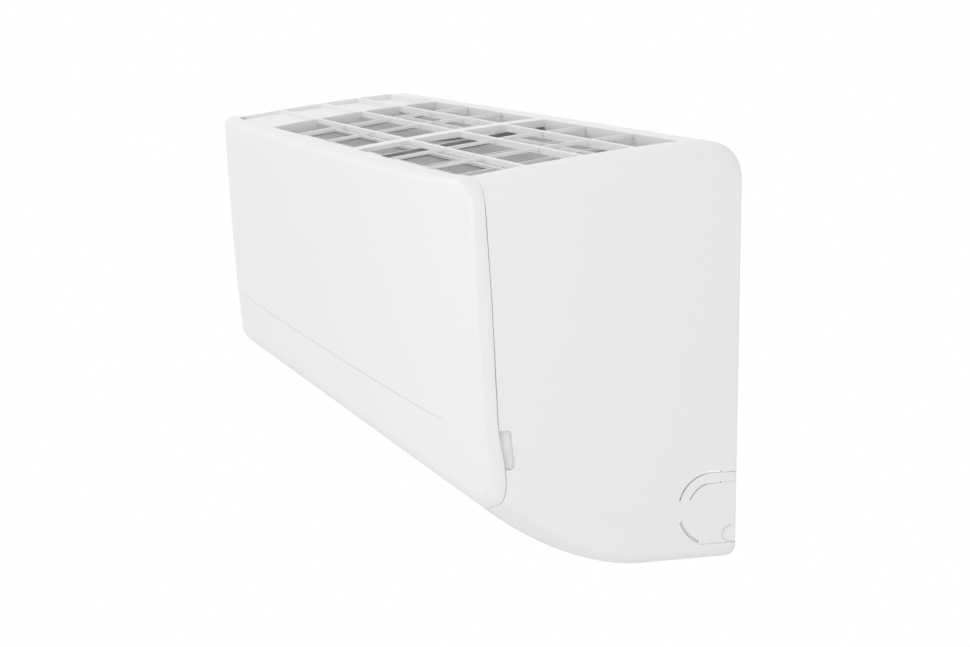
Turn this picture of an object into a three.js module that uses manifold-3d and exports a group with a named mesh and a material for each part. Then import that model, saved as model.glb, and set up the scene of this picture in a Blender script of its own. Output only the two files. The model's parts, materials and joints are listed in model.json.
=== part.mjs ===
// Wall-hung indoor unit of a split air conditioner.
// Millimetres, +Z up. The wall is the plane Y = 0 and the front faces -Y; X runs along the width, to the right
// of someone facing the unit. Heights are counted from the underside of the casing while the pieces are made,
// and the whole group is then lowered so that the origin is the centre of the mounting plate's back.
import * as THREE from 'three';
import { mergeVertices } from 'three/addons/utils/BufferGeometryUtils.js';
import Module from 'manifold-3d';

const wasm = await Module();
wasm.setup();

// ------------------------------------------------------------------ driving dimensions

// Casing and panel, seen from the side
const width = 780;
const height = 291;
const depth = 215;
const originHeight = 153;        // centre of the mounting plate above the underside
const wall = 2.6;                // moulded wall of casing and panel
const topFall = 25.4;            // the top drops this much from rear to front
const topFallPower = 1.3;
const rearTopReach = 22;         // rear top corner
const rearFootReach = 8;         // rear bottom corner
const frontLean = 9.7;           // front leans back by this from its top edge to the crease
const frontLeanPower = 1.3;
const creaseHeight = 102;
const creaseStep = 0.9;          // the band below the crease lies this much further back
const creaseHalf = 0.7;
const creaseEnd = 355;           // where the crease has faded out, from the middle
const creaseFade = 45;
const lowerLean = 0.105;         // lean of the band below the crease, per mm of height
const undersideFlat = 70;        // flat part of the underside, from the wall
const undersideRun = 105;        // then it rises by undersideRise over this run
const undersideRise = 41.5;
const undersidePower = 1.9;
const frontTopReach = 5;
const frontFootReach = 9;

// Rounding towards the side walls
const shoulderRound = 20;        // top to side
const footRound = 9;             // underside to side
const frontRound = 5;            // front to side
const rearRound = 2;             // rear edge
const crownMiddle = 4;           // the front stands out by this in the middle ...
const crownEnds = 14;            // ... and turns back by this close to the ends
const crownEndsPower = 12;

// Seam between panel and casing: height and depth on the side walls, and how far it runs forward in the middle
const seamLine = [[30, -186], [42, -178], [49.5, -173.1], [60, -169.4], [74, -169.8], [101.6, -174.4],
  [190, -179.4], [262, -184.5], [310, -185.5]];
const seamForward = 13;
const seamGap = 0.6;
const panelLift = 1.8;           // the panel's top return stands this much above the casing's top
const panelWall = 2.4;

// Top intake grille
const grilleLeft = -367;
const grilleFront = 192;         // distance of the grille's edges from the wall
const grilleBack = 36;
const grilleBlindEnd = -213;     // cells left of this are closed
const grilleGroups = [[-210, -113, -18, 72], [92, 182, 278, 363]];  // left end, then the right edge of each cell
const grilleRight = grilleGroups[1].at(-1);
const grilleRibs = [147, 105.3, 67.8];  // rear edges of the long ribs, from the wall
const grilleRib = 3;
const ribDeepFront = 3.2;
const ribDeepBack = 6;
const crossRibShare = 0.5;       // the short ribs reach down half as far
const blindShare = 0.8;          // and the floor of the closed cells this far
const blindFloor = 1.8;

// Front frame behind the panel
const windowFoot = 84;
const windowTop = 244;
const windowInset = 3;

// Finger notch at each end of the seam
const notchFoot = 74;
const notchTop = 101.6;
const notchReach = 6;
const notchDepth = 4.6;
const notchCorner = 3;
const notchBacking = 2;

// Pipe knock-out in each side wall: a half slot open to the wall, marked by cut slits
const knockoutReach = 44;
const knockoutTop = 62.5;
const knockoutFoot = 11.6;
const knockoutBand = 7.6;        // between the outer and the inner outline
const knockoutSlit = 1.3;
const knockoutEdge = 12;         // the cut slits stop this far from the wall
const drainMarkRadius = 7;

// Working compartment, from the left tube sheet to the right one
const bayLeft = -198;
const bayRight = 366.5;
const plateThick = 2.5;          // end plates of the chassis
const fit = 0.3;                 // gap between pieces that rest on each other
const running = 0.4;             // gap round pins that turn

// Outlet and louver
const mouthFront = 172.6;
const mouthBack = 103.6;
const louverFront = 171;
const louverBack = 106.5;
const louverThick = 2.4;
const louverPivot = { y: -116, z: 15.8 };
const louverPin = 2;
const louverBoss = 4.2;
const louverEnd = 1.2;
const lipSetback = 2.2;          // the chassis' lip stands this far behind the mouth's edge

// Panel hinge
const hinge = { y: -183, z: 263 };
const hingePin = 2;
const hingeArmAt = 368;
const hingeArm = 5;
const hingeArmFoot = { y: -209.5, z: 236 };
const hingeSlot = 5;
const hingeLug = 3;
const hingePinReach = 2.4;
const hingeClearance = 0.25;     // between the casing and the panel's corners as they turn
const hingeSteps = [5, 10, 15, 20, 28, 36, 43, 50];

// Cross-flow fan
const fan = { y: -88, z: 100 };
const fanRadius = 45;
const fanInner = 34;
const fanBlades = 22;
const fanDiscs = 3;
const fanDiscThick = 3;
const bladeThick = 1.6;
const bladeSweep = 15;           // degrees from a blade's inner to its outer edge
const fanLeft = -186;
const fanRight = 357;
const shaftRadius = 4;
const hubRadius = 11;
const hubReach = 7;

// Fan motor
const motorRadius = 38;
const motorLeft = -292;
const motorRight = -208;
const motorNose = 14;
const cradleAt = [-284, -244];
const cradleThick = 4;

// Scroll of the rear chassis
const scrollStart = 40;          // degrees above the fan's rear
const scrollEnd = -92;
const scrollNear = 50.5;
const scrollFar = 69;
const skin = 2.5;
const lipHeight = 16;
const backWallAt = 12;           // front of the plate's recess, from the wall
const backWallFoot = 70;
const backWallTop = 279;
const gutterHeight = 153;
const gutterReach = 57;
const gutterLip = 13;
const channelReach = 58;         // the pipe channel's front web, from the wall
const channelTop = 40.5;

// Drain pan with the duct's upper wall
const tongue = { y: -139, z: 74 };
const ductLip = { y: -169.5, z: 43.4 };
const panFront = 171;
const panRim = 92;
const troughFloor = 68;

// Heat exchanger
const finThick = 26;
const packs = {
  fin_pack_front: [[-154, 94], [-156.5, 176]],
  fin_pack_upper: [[-151, 185], [-108, 239]],
  fin_pack_rear: [[-84, 239], [-44, 179]],
};
const sheetThick = 1.5;
const sheetMargin = 1.2;
const bendRadius = 9.5;
const tubeRadius = 3.5;
const gasRadius = 4.8;
const liquidRadius = 3.2;

// Air filters: a thin frame that runs up behind the panel and back under the grille
const filterFoot = { y: -174.4, z: 88 };
const filterKnee = { y: -184, z: 248 };
const filterBend = 13;
const filterBack = { y: -46, z: 280.8 };
const filterThick = 2.6;
const filterCells = 3;
const filterRim = 6;
const filterRib = 2.4;
const netThick = 0.7;

// Upright vanes
const vaneGroups = { left: -158, right: 112 };
const vanesPerGroup = 5;
const vanePitch = 54;
const vaneAt = 20;               // pivot's distance from the tongue, along the duct's upper wall
const vaneHalf = 13;
const vaneTall = 22;
const vaneThick = 1.8;
const vanePin = 1.8;
const vanePinDeep = 4.5;
const vaneCrank = 9;             // from the pivot to the link rod's pin
const linkPin = 1.2;
const linkThick = 2.4;
const linkWide = 6;

// Control box
const box0 = { x: [-379, -312], y: [-160, -15], z: [62, 236] };
const sheet = 1.6;

// Mounting plate
const plateWide = 640;
const plateFoot = 68;
const plateTop = 238;
const plateSheet = 1.2;
const plateFlange = 8;

const halfWidth = width / 2;
const frontTop = height - topFall;

// ------------------------------------------------------------------ materials

const finish = (color, roughness, metalness = 0) => new THREE.MeshStandardMaterial({ color, roughness, metalness });
const looks = {
  whitePlastic: finish(0xecedee, 0.45),
  innerPlastic: finish(0xd9dadb, 0.6),
  greyPlastic: finish(0x8b8f93, 0.6),
  darkPlastic: finish(0x2f3236, 0.6),
  netBlack: finish(0x3a3d40, 0.8),
  fins: finish(0xb9bcc0, 0.4, 0.9),
  copper: finish(0xb87352, 0.35, 1),
  brass: finish(0xc9a45a, 0.35, 1),
  galvanised: finish(0xa9adb1, 0.45, 0.9),
  steel: finish(0xc2c5c8, 0.3, 1),
  rubber: finish(0x26282a, 0.9),
  board: finish(0x2e6b45, 0.6),
};

// ------------------------------------------------------------------ solids from three.js geometry

function solidOf(geometry) {
  const bare = new THREE.BufferGeometry();
  bare.setAttribute('position', geometry.getAttribute('position').clone());
  bare.setIndex(geometry.getIndex());
  const merged = mergeVertices(bare, 1e-4);
  const corners = merged.getIndex().array;
  const faces = [];
  for (let i = 0; i < corners.length; i += 3) {
    const [a, b, c] = [corners[i], corners[i + 1], corners[i + 2]];
    if (a !== b && b !== c && c !== a) faces.push(a, b, c);
  }
  const vertProperties = new Float32Array(merged.getAttribute('position').array);
  return new wasm.Manifold(new wasm.Mesh({ numProp: 3, vertProperties, triVerts: new Uint32Array(faces) }));
}

const meshTolerance = 0.04;        // finer unevenness than this is smoothed away

function geometryOf(solid) {
  const mesh = solid.getMesh();
  const geometry = new THREE.BufferGeometry();
  geometry.setAttribute('position', new THREE.BufferAttribute(new Float32Array(mesh.vertProperties), 3));
  geometry.setIndex(new THREE.BufferAttribute(new Uint32Array(mesh.triVerts), 1));
  geometry.computeVertexNormals();
  return geometry;
}

const join = (...solids) => solids.flat().reduce((sum, next) => sum.add(next));
const cut = (body, ...tools) => tools.flat().reduce((rest, tool) => rest.subtract(tool), body);

function block([x0, x1], [y0, y1], [z0, z1]) {
  const geometry = new THREE.BoxGeometry(x1 - x0, y1 - y0, z1 - z0);
  geometry.translate((x0 + x1) / 2, (y0 + y1) / 2, (z0 + z1) / 2);
  return solidOf(geometry);
}

function extruded(outline, length, place) {
  const shape = new THREE.Shape(outline.map(([a, b]) => new THREE.Vector2(a, b)));
  const geometry = new THREE.ExtrudeGeometry(shape, { depth: length, bevelEnabled: false, steps: 1 });
  return solidOf(geometry.applyMatrix4(place));
}

// An outline of [y, z] points run from x0 to x1
function alongX(outline, x0, x1) {
  const place = new THREE.Matrix4().set(0, 0, 1, x0, 1, 0, 0, 0, 0, 1, 0, 0, 0, 0, 0, 1);
  return extruded(outline, x1 - x0, place);
}

// An outline of [x, z] points run from y0 to y1
function alongY(outline, y0, y1) {
  const place = new THREE.Matrix4().set(1, 0, 0, 0, 0, 0, -1, y1, 0, 1, 0, 0, 0, 0, 0, 1);
  return extruded(outline, y1 - y0, place);
}

// A round rod from one point to another
function rod(radius, from, to, sides = 16, endRadius = radius) {
  const start = new THREE.Vector3(...from);
  const way = new THREE.Vector3(...to).sub(start);
  const geometry = new THREE.CylinderGeometry(endRadius, radius, way.length(), sides);
  geometry.translate(0, way.length() / 2, 0);
  geometry.applyQuaternion(new THREE.Quaternion().setFromUnitVectors(new THREE.Vector3(0, 1, 0), way.normalize()));
  geometry.translate(...from);
  return solidOf(geometry);
}

const rodX = (radius, x0, x1, { y, z }, sides) => rod(radius, [x0, y, z], [x1, y, z], sides);

// A tube or bar along a smooth curve through points, with straight ends
function pipe(radius, points, steps, sides = 8) {
  const curve = new THREE.CatmullRomCurve3(points.map((p) => new THREE.Vector3(...p)), false, 'centripetal');
  const section = new THREE.Shape();
  for (let i = 0; i < sides; i += 1) {
    const turn = (2 * Math.PI * i) / sides;
    section[i ? 'lineTo' : 'moveTo'](radius * Math.cos(turn), radius * Math.sin(turn));
  }
  return solidOf(new THREE.ExtrudeGeometry(section, { steps, extrudePath: curve, bevelEnabled: false }));
}

function circle({ y, z }, radius, sides = 24) {
  const points = [];
  for (let i = 0; i < sides; i += 1) {
    const turn = (2 * Math.PI * i) / sides;
    points.push([y + radius * Math.cos(turn), z + radius * Math.sin(turn)]);
  }
  return points;
}

// The triangles that fill a ring, wound with the ring's own order or against it
function capFaces(ring, first, along) {
  const flat = ring.map(([, y, z]) => new THREE.Vector2(y, z));
  const triangles = THREE.ShapeUtils.triangulateShape(flat, []);
  const covered = triangles.reduce((sum, face) => sum + THREE.ShapeUtils.area(face.map((i) => flat[i])), 0);
  const same = Math.sign(covered) === Math.sign(THREE.ShapeUtils.area(flat));
  return triangles.map((face) => (same === along ? face : face.reverse()).map((i) => first + i));
}

// A closed skin through rings of points, the first and the last one filled in
function loft(rings) {
  const count = rings[0].length;
  const faces = [];
  for (let j = 0; j + 1 < rings.length; j += 1) {
    for (let i = 0; i < count; i += 1) {
      const next = (i + 1) % count;
      const [a, b, c, d] = [j * count + i, j * count + next, (j + 1) * count + i, (j + 1) * count + next];
      faces.push([a, b, c], [b, d, c]);
    }
  }
  faces.push(...capFaces(rings[0], 0, false), ...capFaces(rings.at(-1), (rings.length - 1) * count, true));
  const insideOut = THREE.ShapeUtils.area(rings[0].map(([, y, z]) => new THREE.Vector2(y, z))) > 0;
  if (insideOut) faces.forEach((face) => face.reverse());
  const geometry = new THREE.BufferGeometry();
  geometry.setAttribute('position', new THREE.Float32BufferAttribute(rings.flat(2), 3));
  geometry.setIndex(faces.flat());
  return solidOf(geometry);
}

// ------------------------------------------------------------------ outer form of casing and panel

const mix = (a, b, t) => a + (b - a) * t;
const ease = (t) => {
  const held = Math.min(1, Math.max(0, t));
  return held * held * (3 - 2 * held);
};

// How far the front has turned back at x, none in the middle
function crown(x) {
  const share = Math.abs(x) / halfWidth;
  return crownMiddle * share ** 2 + crownEnds * share ** crownEndsPower;
}

const seamTurn = (x) => seamForward * (1 - (Math.abs(x) / halfWidth) ** crownEndsPower);

function topAt(y) {
  const share = Math.max(0, (-y - rearTopReach) / (depth - rearTopReach));
  return height - topFall * share ** topFallPower;
}

function undersideAt(y) {
  const share = Math.max(0, (-y - undersideFlat) / undersideRun);
  if (share <= 1) return undersideRise * share ** undersidePower;
  return undersideRise * (1 + undersidePower * (share - 1));
}

function frontAt(z, x) {
  if (z > creaseHeight) {
    const fall = Math.max(0, frontTop - z) / (frontTop - creaseHeight);
    return crown(x) - depth + frontLean * fall ** frontLeanPower;
  }
  const step = creaseStep * ease((creaseEnd - Math.abs(x)) / creaseFade);
  return crown(x) - depth + frontLean + step + lowerLean * (creaseHeight - z);
}

function seamAt(z, x) {
  const upper = Math.max(1, seamLine.findIndex(([at]) => at >= z));
  const [[z0, y0], [z1, y1]] = [seamLine[upper - 1], seamLine[upper]];
  return mix(y0, y1, (z - z0) / (z1 - z0)) - seamTurn(x);
}

function fillet(before, corner, after, steps) {
  const points = [];
  for (let i = 0; i <= steps; i += 1) {
    const t = i / steps;
    const [a, b, c] = [(1 - t) ** 2, 2 * t * (1 - t), t ** 2];
    points.push([a * before[0] + b * corner[0] + c * after[0], a * before[1] + b * corner[1] + c * after[1]]);
  }
  return points;
}

// The side profile at x, drawn inwards by a wall and, towards the ends, by the rounding: [y, z, end radius]
function profile(x, round, { inset, rear, lift, fine }) {
  const top = (y) => topAt(y) + lift * ease((-y - undersideFlat) / undersideFlat) - inset - shoulderRound * round;
  const under = (y) => undersideAt(y) + inset + footRound * round;
  const front = (z) => frontAt(z, x) + inset + frontRound * round;
  const back = -rear - rearRound * round;
  let foot = [front(creaseHeight / 2), 0];
  let brow = [front(frontTop), 0];
  for (let i = 0; i < 12; i += 1) {
    foot = [front(foot[1]), under(foot[0])];
    brow = [front(brow[1]), top(brow[0])];
  }
  const points = [];
  const put = (list, radiusOf) => list.forEach(([y, z], i) => points.push([y, z, radiusOf(i / (list.length - 1 || 1))]));
  const footFrom = foot[0] + frontFootReach;
  const footTo = foot[1] + frontFootReach;
  put(fillet([footFrom, under(footFrom)], foot, [front(footTo), footTo], fine ? 3 : 1), (t) => mix(footRound, frontRound, t));
  const creaseLow = creaseHeight - creaseHalf;
  const creaseHigh = creaseHeight + creaseHalf;
  const lowMiddle = (footTo + creaseLow) / 2;
  put([[front(lowMiddle), lowMiddle], [front(creaseLow), creaseLow], [front(creaseHigh), creaseHigh]], () => frontRound);
  const browFrom = brow[1] - frontTopReach;
  const rises = fine ? [0.25, 0.55, 0.82] : [0.5];
  put(rises.map((t) => mix(creaseHigh, browFrom, t)).map((z) => [front(z), z]), (t) => mix(frontRound, shoulderRound / 2, fine ? t ** 3 : t));
  const browTo = brow[0] + frontTopReach;
  put(fillet([front(browFrom), browFrom], brow, [browTo, top(browTo)], fine ? 3 : 1), (t) => mix(shoulderRound * 0.75, shoulderRound, t));
  const runs = fine ? [0.1, 0.3, 0.55, 0.8] : [0.25, 0.6];
  put(runs.map((t) => mix(browTo, -rearTopReach, t)).map((y) => [y, top(y)]), () => shoulderRound);
  const rearCorner = [back, height - inset - shoulderRound * round];
  put(fillet([-rearTopReach, top(-rearTopReach)], rearCorner, [back, rearCorner[1] - rearTopReach], fine ? 4 : 2),
    (t) => mix(shoulderRound, rearRound, t));
  const heel = [back, under(back)];
  put(fillet([back, heel[1] + rearFootReach], heel, [back - rearFootReach, heel[1]], fine ? 2 : 1), (t) => mix(rearRound, footRound, t));
  const floor = fine ? [0, 0.24, 0.44, 0.63, 0.82] : [0, 0.3, 0.55, 0.78];
  put(floor.map((t) => mix(-undersideFlat, footFrom, t)).map((y) => [y, under(y)]), () => footRound);
  return points;
}

// The whole outer form, or the same form drawn inwards by inset
function form({ inset = 0, rear = inset, lift = 0, fine = true } = {}) {
  const end = halfWidth - inset;
  const radii = profile(0, 0, { inset, rear, lift, fine }).map(([, , radius]) => radius);
  const inner = fine ? [352, 318, 260, 150, 0] : [330, 200, 0];
  const stations = [];
  for (const turn of fine ? [90, 65, 42, 20, 0] : [90, 45, 0]) {
    const angle = THREE.MathUtils.degToRad(turn);
    stations.push({ at: (radius) => end - radius * (1 - Math.sin(angle)), round: 1 - Math.cos(angle) });
  }
  if (fine) stations.push({ at: (radius) => (end - radius + inner[0]) / 2, round: 0 });
  inner.forEach((x) => stations.push({ at: () => x, round: 0 }));
  const ring = (station, side) => radii.map((radius, i) => {
    const x = side * station.at(radius);
    const [y, z] = profile(x, station.round, { inset, rear, lift, fine })[i];
    return [x, y, z];
  });
  const right = stations.map((station) => ring(station, 1));
  const left = stations.slice(0, -1).reverse().map((station) => ring(station, -1));
  return loft([...right, ...left]);
}

// Everything ahead of the seam, moved back by an offset
function ahead(offset) {
  const far = -depth - 30;
  const stops = [halfWidth + 3, 382, 370, 352, 326, 270, 150, 0];
  const ring = (x) => {
    const held = Math.min(Math.abs(x), halfWidth);
    const edge = seamLine.map(([z]) => [x, seamAt(z, held) + offset, z]);
    return [...edge, [x, far, seamLine.at(-1)[0]], [x, far, seamLine[0][0] - 20], [x, edge[0][1], seamLine[0][0] - 20]];
  };
  const right = stops.map(ring);
  const left = stops.slice(0, -1).reverse().map((x) => ring(-x));
  return loft([...right, ...left]);
}

// ------------------------------------------------------------------ casing

function grilleSpans() {
  return grilleGroups.flatMap(([left, ...edges]) => edges.map((edge, i) => [i ? edges[i - 1] + grilleRib : left, edge]));
}

function grilleRows() {
  const edges = [grilleFront, ...grilleRibs.flatMap((rear) => [rear + grilleRib, rear]), grilleBack];
  return [0, 2, 4, 6].map((i) => [-edges[i], -edges[i + 1]]);
}

// The zone above a share of the ribs' depth plus extra
function ribZone(x0, x1, share, extra = 0) {
  const [front, back] = [-grilleFront - 5, -grilleBack + 8];
  const roof = height + 10;
  return alongX([[front, topAt(front) - share * ribDeepFront - extra], [back, topAt(back) - share * ribDeepBack - extra],
    [back, roof], [front, roof]], x0, x1);
}

function withGrille(shell, behind) {
  const margin = 4;
  const lattice = behind.intersect(ribZone(grilleLeft - margin, grilleRight + margin, 1));
  const blind = [grilleLeft, grilleBlindEnd];
  const floor = behind.intersect(ribZone(grilleLeft - margin, grilleBlindEnd + grilleRib, blindShare, blindFloor));
  const cells = grilleRows().flatMap((row) => {
    const rise = [topAt(row[0]) - 30, height + 10];
    const under = grilleGroups.map((group) => cut(block([group[0], group.at(-1)], row, rise),
      ribZone(group[0] - 1, group.at(-1) + 1, crossRibShare)));
    return [block(blind, row, rise).intersect(ribZone(...blind, blindShare)), ...under,
      ...grilleSpans().map((span) => block(span, row, rise))];
  });
  return cut(join(shell, lattice, floor), cells);
}

// Cut slits along the knock-out's outline, on the right side wall
function knockoutSlits(inward) {
  const middle = (knockoutTop + knockoutFoot) / 2;
  const half = (knockoutTop - knockoutFoot) / 2 - inward;
  const reach = knockoutReach - inward;
  const outline = (swell) => {
    const points = [];
    for (let i = 0; i <= 8; i += 1) {
      const turn = Math.PI / 2 + (Math.PI * i) / 8;
      const bow = reach - half;
      points.push([-bow + (half + swell) * Math.cos(turn), middle + (half + swell) * Math.sin(turn)]);
    }
    return points;
  };
  const band = [...outline(knockoutSlit / 2), ...outline(-knockoutSlit / 2).reverse()];
  return alongX(band, halfWidth - 1.1, halfWidth + 1);
}

function sideMarks(side) {
  const bridgeUpper = block([halfWidth - 3, halfWidth + 2], [-60, -knockoutReach + 8], [29.6, 43.5]);
  const bridgeFoot = block([halfWidth - 3, halfWidth + 2], [-28.5, 0], [0, 30]);
  const outer = cut(knockoutSlits(0), bridgeUpper, bridgeFoot);
  const inner = cut(knockoutSlits(knockoutBand), block([halfWidth - 3, halfWidth + 2], [-60, 0], [0, 43.5]));
  const line = (z) => block([halfWidth - 0.5, halfWidth + 1], [-knockoutEdge, 1], [z - 0.3, z + 0.3]);
  const foot = block([halfWidth - 0.5, halfWidth + 1], [-28.5, 1], [knockoutFoot - 0.3, knockoutFoot + 0.3]);
  const mark = { y: -5, z: knockoutFoot + drainMarkRadius };
  const small = cut(alongX(circle(mark, drainMarkRadius, 14), halfWidth - 0.9, halfWidth + 1),
    alongX(circle(mark, drainMarkRadius - knockoutSlit, 14), halfWidth - 2, halfWidth + 2),
    block([halfWidth - 2, halfWidth + 2], [mark.y + 1, 5], [0, 40]));
  const marks = [outer, inner, line(knockoutTop - 0.6), line(knockoutTop - knockoutBand), foot, small];
  return side > 0 ? marks : marks.map((mark) => mark.mirror([1, 0, 0]));
}

// The finger notch: a shallow pocket behind the seam with a floor of its own
function notchOutline(grow, back) {
  const foot = notchFoot - grow;
  const top = notchTop + grow;
  const front = seamAt(notchFoot, halfWidth) - 10;
  const backFoot = seamAt(notchFoot, halfWidth) + back;
  const backTop = seamAt(notchTop, halfWidth) + back + 2.4;
  return [[front, foot], [backFoot - notchCorner, foot], [backFoot, foot + notchCorner * 1.6],
    [backTop, top - notchCorner * 1.6], [backTop - notchCorner, top], [front, top]];
}

function notches(grow, back, from, to) {
  const pocket = alongX(notchOutline(grow, back), from, to);
  return [pocket, pocket.mirror([1, 0, 0])];
}

const screwAt = [-150, 88, 330];
const screwHeight = 57;
const capRadius = 4.7;
const capThick = 1.2;
const cupWall = 1.6;
const cupDepth = 6;
const screwRadius = 2;
const headRadius = 4;
const headThick = 2;

const frameFrontAt = (z, x) => seamAt(z, x) + seamGap / 2;

function screwCups(x) {
  const front = frameFrontAt(screwHeight, x);
  const seat = front + cupDepth - cupWall;
  const centre = (y) => [x, y, screwHeight];
  return {
    cup: rod(capRadius + fit + cupWall, centre(front + 1.2), centre(front + cupDepth), 12),
    recess: rod(capRadius + fit, centre(front - 4), centre(seat), 12),
    hole: rod(screwRadius + fit, centre(seat - 1), centre(front + cupDepth + 1), 8),
  };
}

const button = { x: -250, z: 90 };
const buttonRadius = 5;
const buttonTravel = 1.5;
const buttonProud = 1.9;
const postAt = [-292, -222];
const boardFront = -175.2;
const boardThick = 1.6;

function casing() {
  const outer = form();
  const hollow = cut(form({ inset: wall, rear: -6, fine: false }), ahead(seamGap / 2 + wall));
  const behind = cut(outer, ahead(seamGap / 2));
  const shell = cut(behind, hollow);
  const backing = notches(notchBacking, notchReach + notchBacking, halfWidth - notchDepth - notchBacking, halfWidth - 1)
    .map((pad) => cut(pad, ahead(seamGap / 2)));
  const cups = screwAt.map(screwCups);
  const posts = postAt.map((x) => rod(2.5, [x, frameFrontAt(button.z, x) + 1, button.z], [x, boardFront - fit, button.z], 8));
  const lugs = hingeLugs();
  let body = join(withGrille(shell, behind), backing, cups.map(({ cup }) => cup), posts, lugs);
  const windows = filterSpans().map(([x0, x1]) => block([x0 + windowInset, x1 - windowInset],
    [-depth, -panFront - 1], [windowFoot, windowTop]));
  const mouth = block([bayLeft + plateThick + fit, bayRight - plateThick - fit], [-mouthFront, -mouthBack], [-5, 46]);
  const slots = [-1, 1].map((side) => block(
    [side * hingeArmAt - hingeSlot, side * hingeArmAt + hingeSlot], [-depth, hinge.y + 4.4], [hinge.z - 17, hinge.z + 5]));
  const holes = [-1, 1].map((side) => rodX(hingePin + running, side * hingeArmAt - hingeSlot - 9,
    side * hingeArmAt + hingeSlot + 9, hinge, 10));
  body = cut(body, windows, mouth, slots, holes,
    notches(0, notchReach, halfWidth - notchDepth, halfWidth + 2),
    cups.flatMap(({ recess, hole }) => [recess, hole]),
    rod(buttonRadius + running, [button.x, -depth, button.z], [button.x, -170, button.z], 14),
    sideMarks(1), sideMarks(-1));
  return body;
}

function hingeLugs() {
  return [-1, 1].flatMap((side) => [-1, 1].map((face) => {
    const near = side * hingeArmAt + face * hingeSlot;
    const far = near + face * hingeLug;
    const roof = topAt(hinge.y - 6) - 1;
    return alongX([[hinge.y - 5, hinge.z - 5], [hinge.y + 5, hinge.z - 5], [hinge.y + 5, roof], [hinge.y - 5, roof]],
      Math.min(near, far), Math.max(near, far));
  }));
}

function screwParts(x) {
  const front = frameFrontAt(screwHeight, x);
  const seat = front + cupDepth - cupWall - fit;
  const centre = (y) => [x, y, screwHeight];
  const screw = join(rod(headRadius, centre(seat - headThick), centre(seat), 10),
    rod(screwRadius, centre(seat - 0.5), centre(-panFront + 7), 8));
  const capBack = seat - headThick - fit;
  const cap = rod(capRadius, centre(capBack - capThick), centre(capBack), 12);
  return { screw, cap };
}

function pushButton() {
  const face = frameFrontAt(button.z, button.x);
  const behind = face + wall + 1.7;
  return join(rod(buttonRadius, [button.x, face - buttonProud, button.z], [button.x, behind + 0.5, button.z], 14),
    rod(buttonRadius + 1.8, [button.x, behind, button.z], [button.x, behind + 1.2, button.z], 14),
    rod(2, [button.x, behind + 1, button.z], [button.x, boardFront - buttonTravel - fit, button.z], 8));
}

function indicatorBoard() {
  const plate = block([-300, -214], [boardFront, boardFront + boardThick], [button.z - 12, button.z + 12]);
  const lamps = [-282, -272, -262].map((x) => rod(1.6, [x, boardFront - 3, button.z - 6], [x, boardFront + 0.5, button.z - 6], 6));
  return join(plate, lamps);
}

// ------------------------------------------------------------------ front panel

function frontPanel() {
  const outer = form({ lift: panelLift });
  const inner = form({ inset: panelWall, lift: panelLift, fine: false });
  const shell = cut(outer.intersect(ahead(-seamGap / 2)), inner);
  const arms = [-1, 1].map((side) => {
    const half = hingeArm / 2;
    const outline = [[hinge.y - 3, hinge.z + 1], [hingeArmFoot.y - 3, hingeArmFoot.z + 8],
      [hingeArmFoot.y - 2, hingeArmFoot.z - 8], [hinge.y + 2, hinge.z - 2.6]];
    const x = side * hingeArmAt;
    const arm = join(alongX(outline, x - half, x + half), rodX(3.4, x - half, x + half, hinge, 10),
      rodX(hingePin, x - half - hingePinReach - hingeSlot + half, x + half + hingePinReach + hingeSlot - half, hinge, 8));
    return cut(arm, arm.intersect(block([x - half - 1, x + half + 1], [-depth - 10, frontAt(hingeArmFoot.z, x) + panelWall - 1],
      [0, height])));
  });
  const ribs = [135, 200].map((z) => {
    const inside = alongX([[-depth - 5, z - 1], [-depth + 12, z - 1], [-depth + 12, z + 1], [-depth - 5, z + 1]], -300, 300);
    return inside.intersect(form({ inset: 1, lift: panelLift, fine: false }));
  });
  return join(cut(shell, sweptCorners()), arms, ribs);
}

// The casing's top corners as the opening panel passes them
function sweptCorners() {
  const grown = cut(form({ inset: -hingeClearance, rear: 0 }), ahead(seamGap / 2 - hingeClearance));
  const corner = grown.intersect(block([355, halfWidth + 1], [hinge.y - 16, hinge.y + 8], [hinge.z, height]));
  return hingeSteps.map((turn) => {
    const turned = corner.translate([0, -hinge.y, -hinge.z]).rotate([turn, 0, 0]).translate([0, hinge.y, hinge.z]);
    return join(turned, turned.mirror([1, 0, 0]));
  });
}

// ------------------------------------------------------------------ louver

function underSkin(from, to, lower, upper, steps) {
  const low = [];
  const high = [];
  for (let i = 0; i <= steps; i += 1) {
    const y = mix(-from, -to, i / steps);
    low.push([y, undersideAt(y) + lower]);
    high.push([y, undersideAt(y) + upper * Math.hypot(1, (undersideAt(y - 1) - undersideAt(y + 1)) / 2)]);
  }
  return [...low, ...high.reverse()];
}

function louver() {
  const [x0, x1] = [bayLeft + plateThick + louverEnd, bayRight - plateThick - louverEnd];
  const blade = alongX(underSkin(louverFront, louverBack, 0, louverThick, 6), x0, x1);
  const ears = [[x0, x0 + 3], [x1 - 3, x1]].map(([from, to]) => {
    const low = undersideAt(louverPivot.y) + 1;
    return join(rodX(louverBoss, from, to, louverPivot, 12), block([from, to],
      [louverPivot.y - louverBoss, louverPivot.y + louverBoss], [low, louverPivot.z]));
  });
  const belly = alongX(underSkin(louverFront + 20, louverBack - 8, -30, 0, 7), x0 - 1, x1 + 1);
  const pins = [rodX(louverPin, x0 - 12, x0 + 1, louverPivot, 8), rodX(louverPin, x1 - 1, x1 + 4.4, louverPivot, 8)];
  return join(cut(join(blade, ears), belly), pins);
}

const stepper = { y: -110, z: 25.5 };
const stepperRadius = 11;
const stepperLength = 18;

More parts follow.
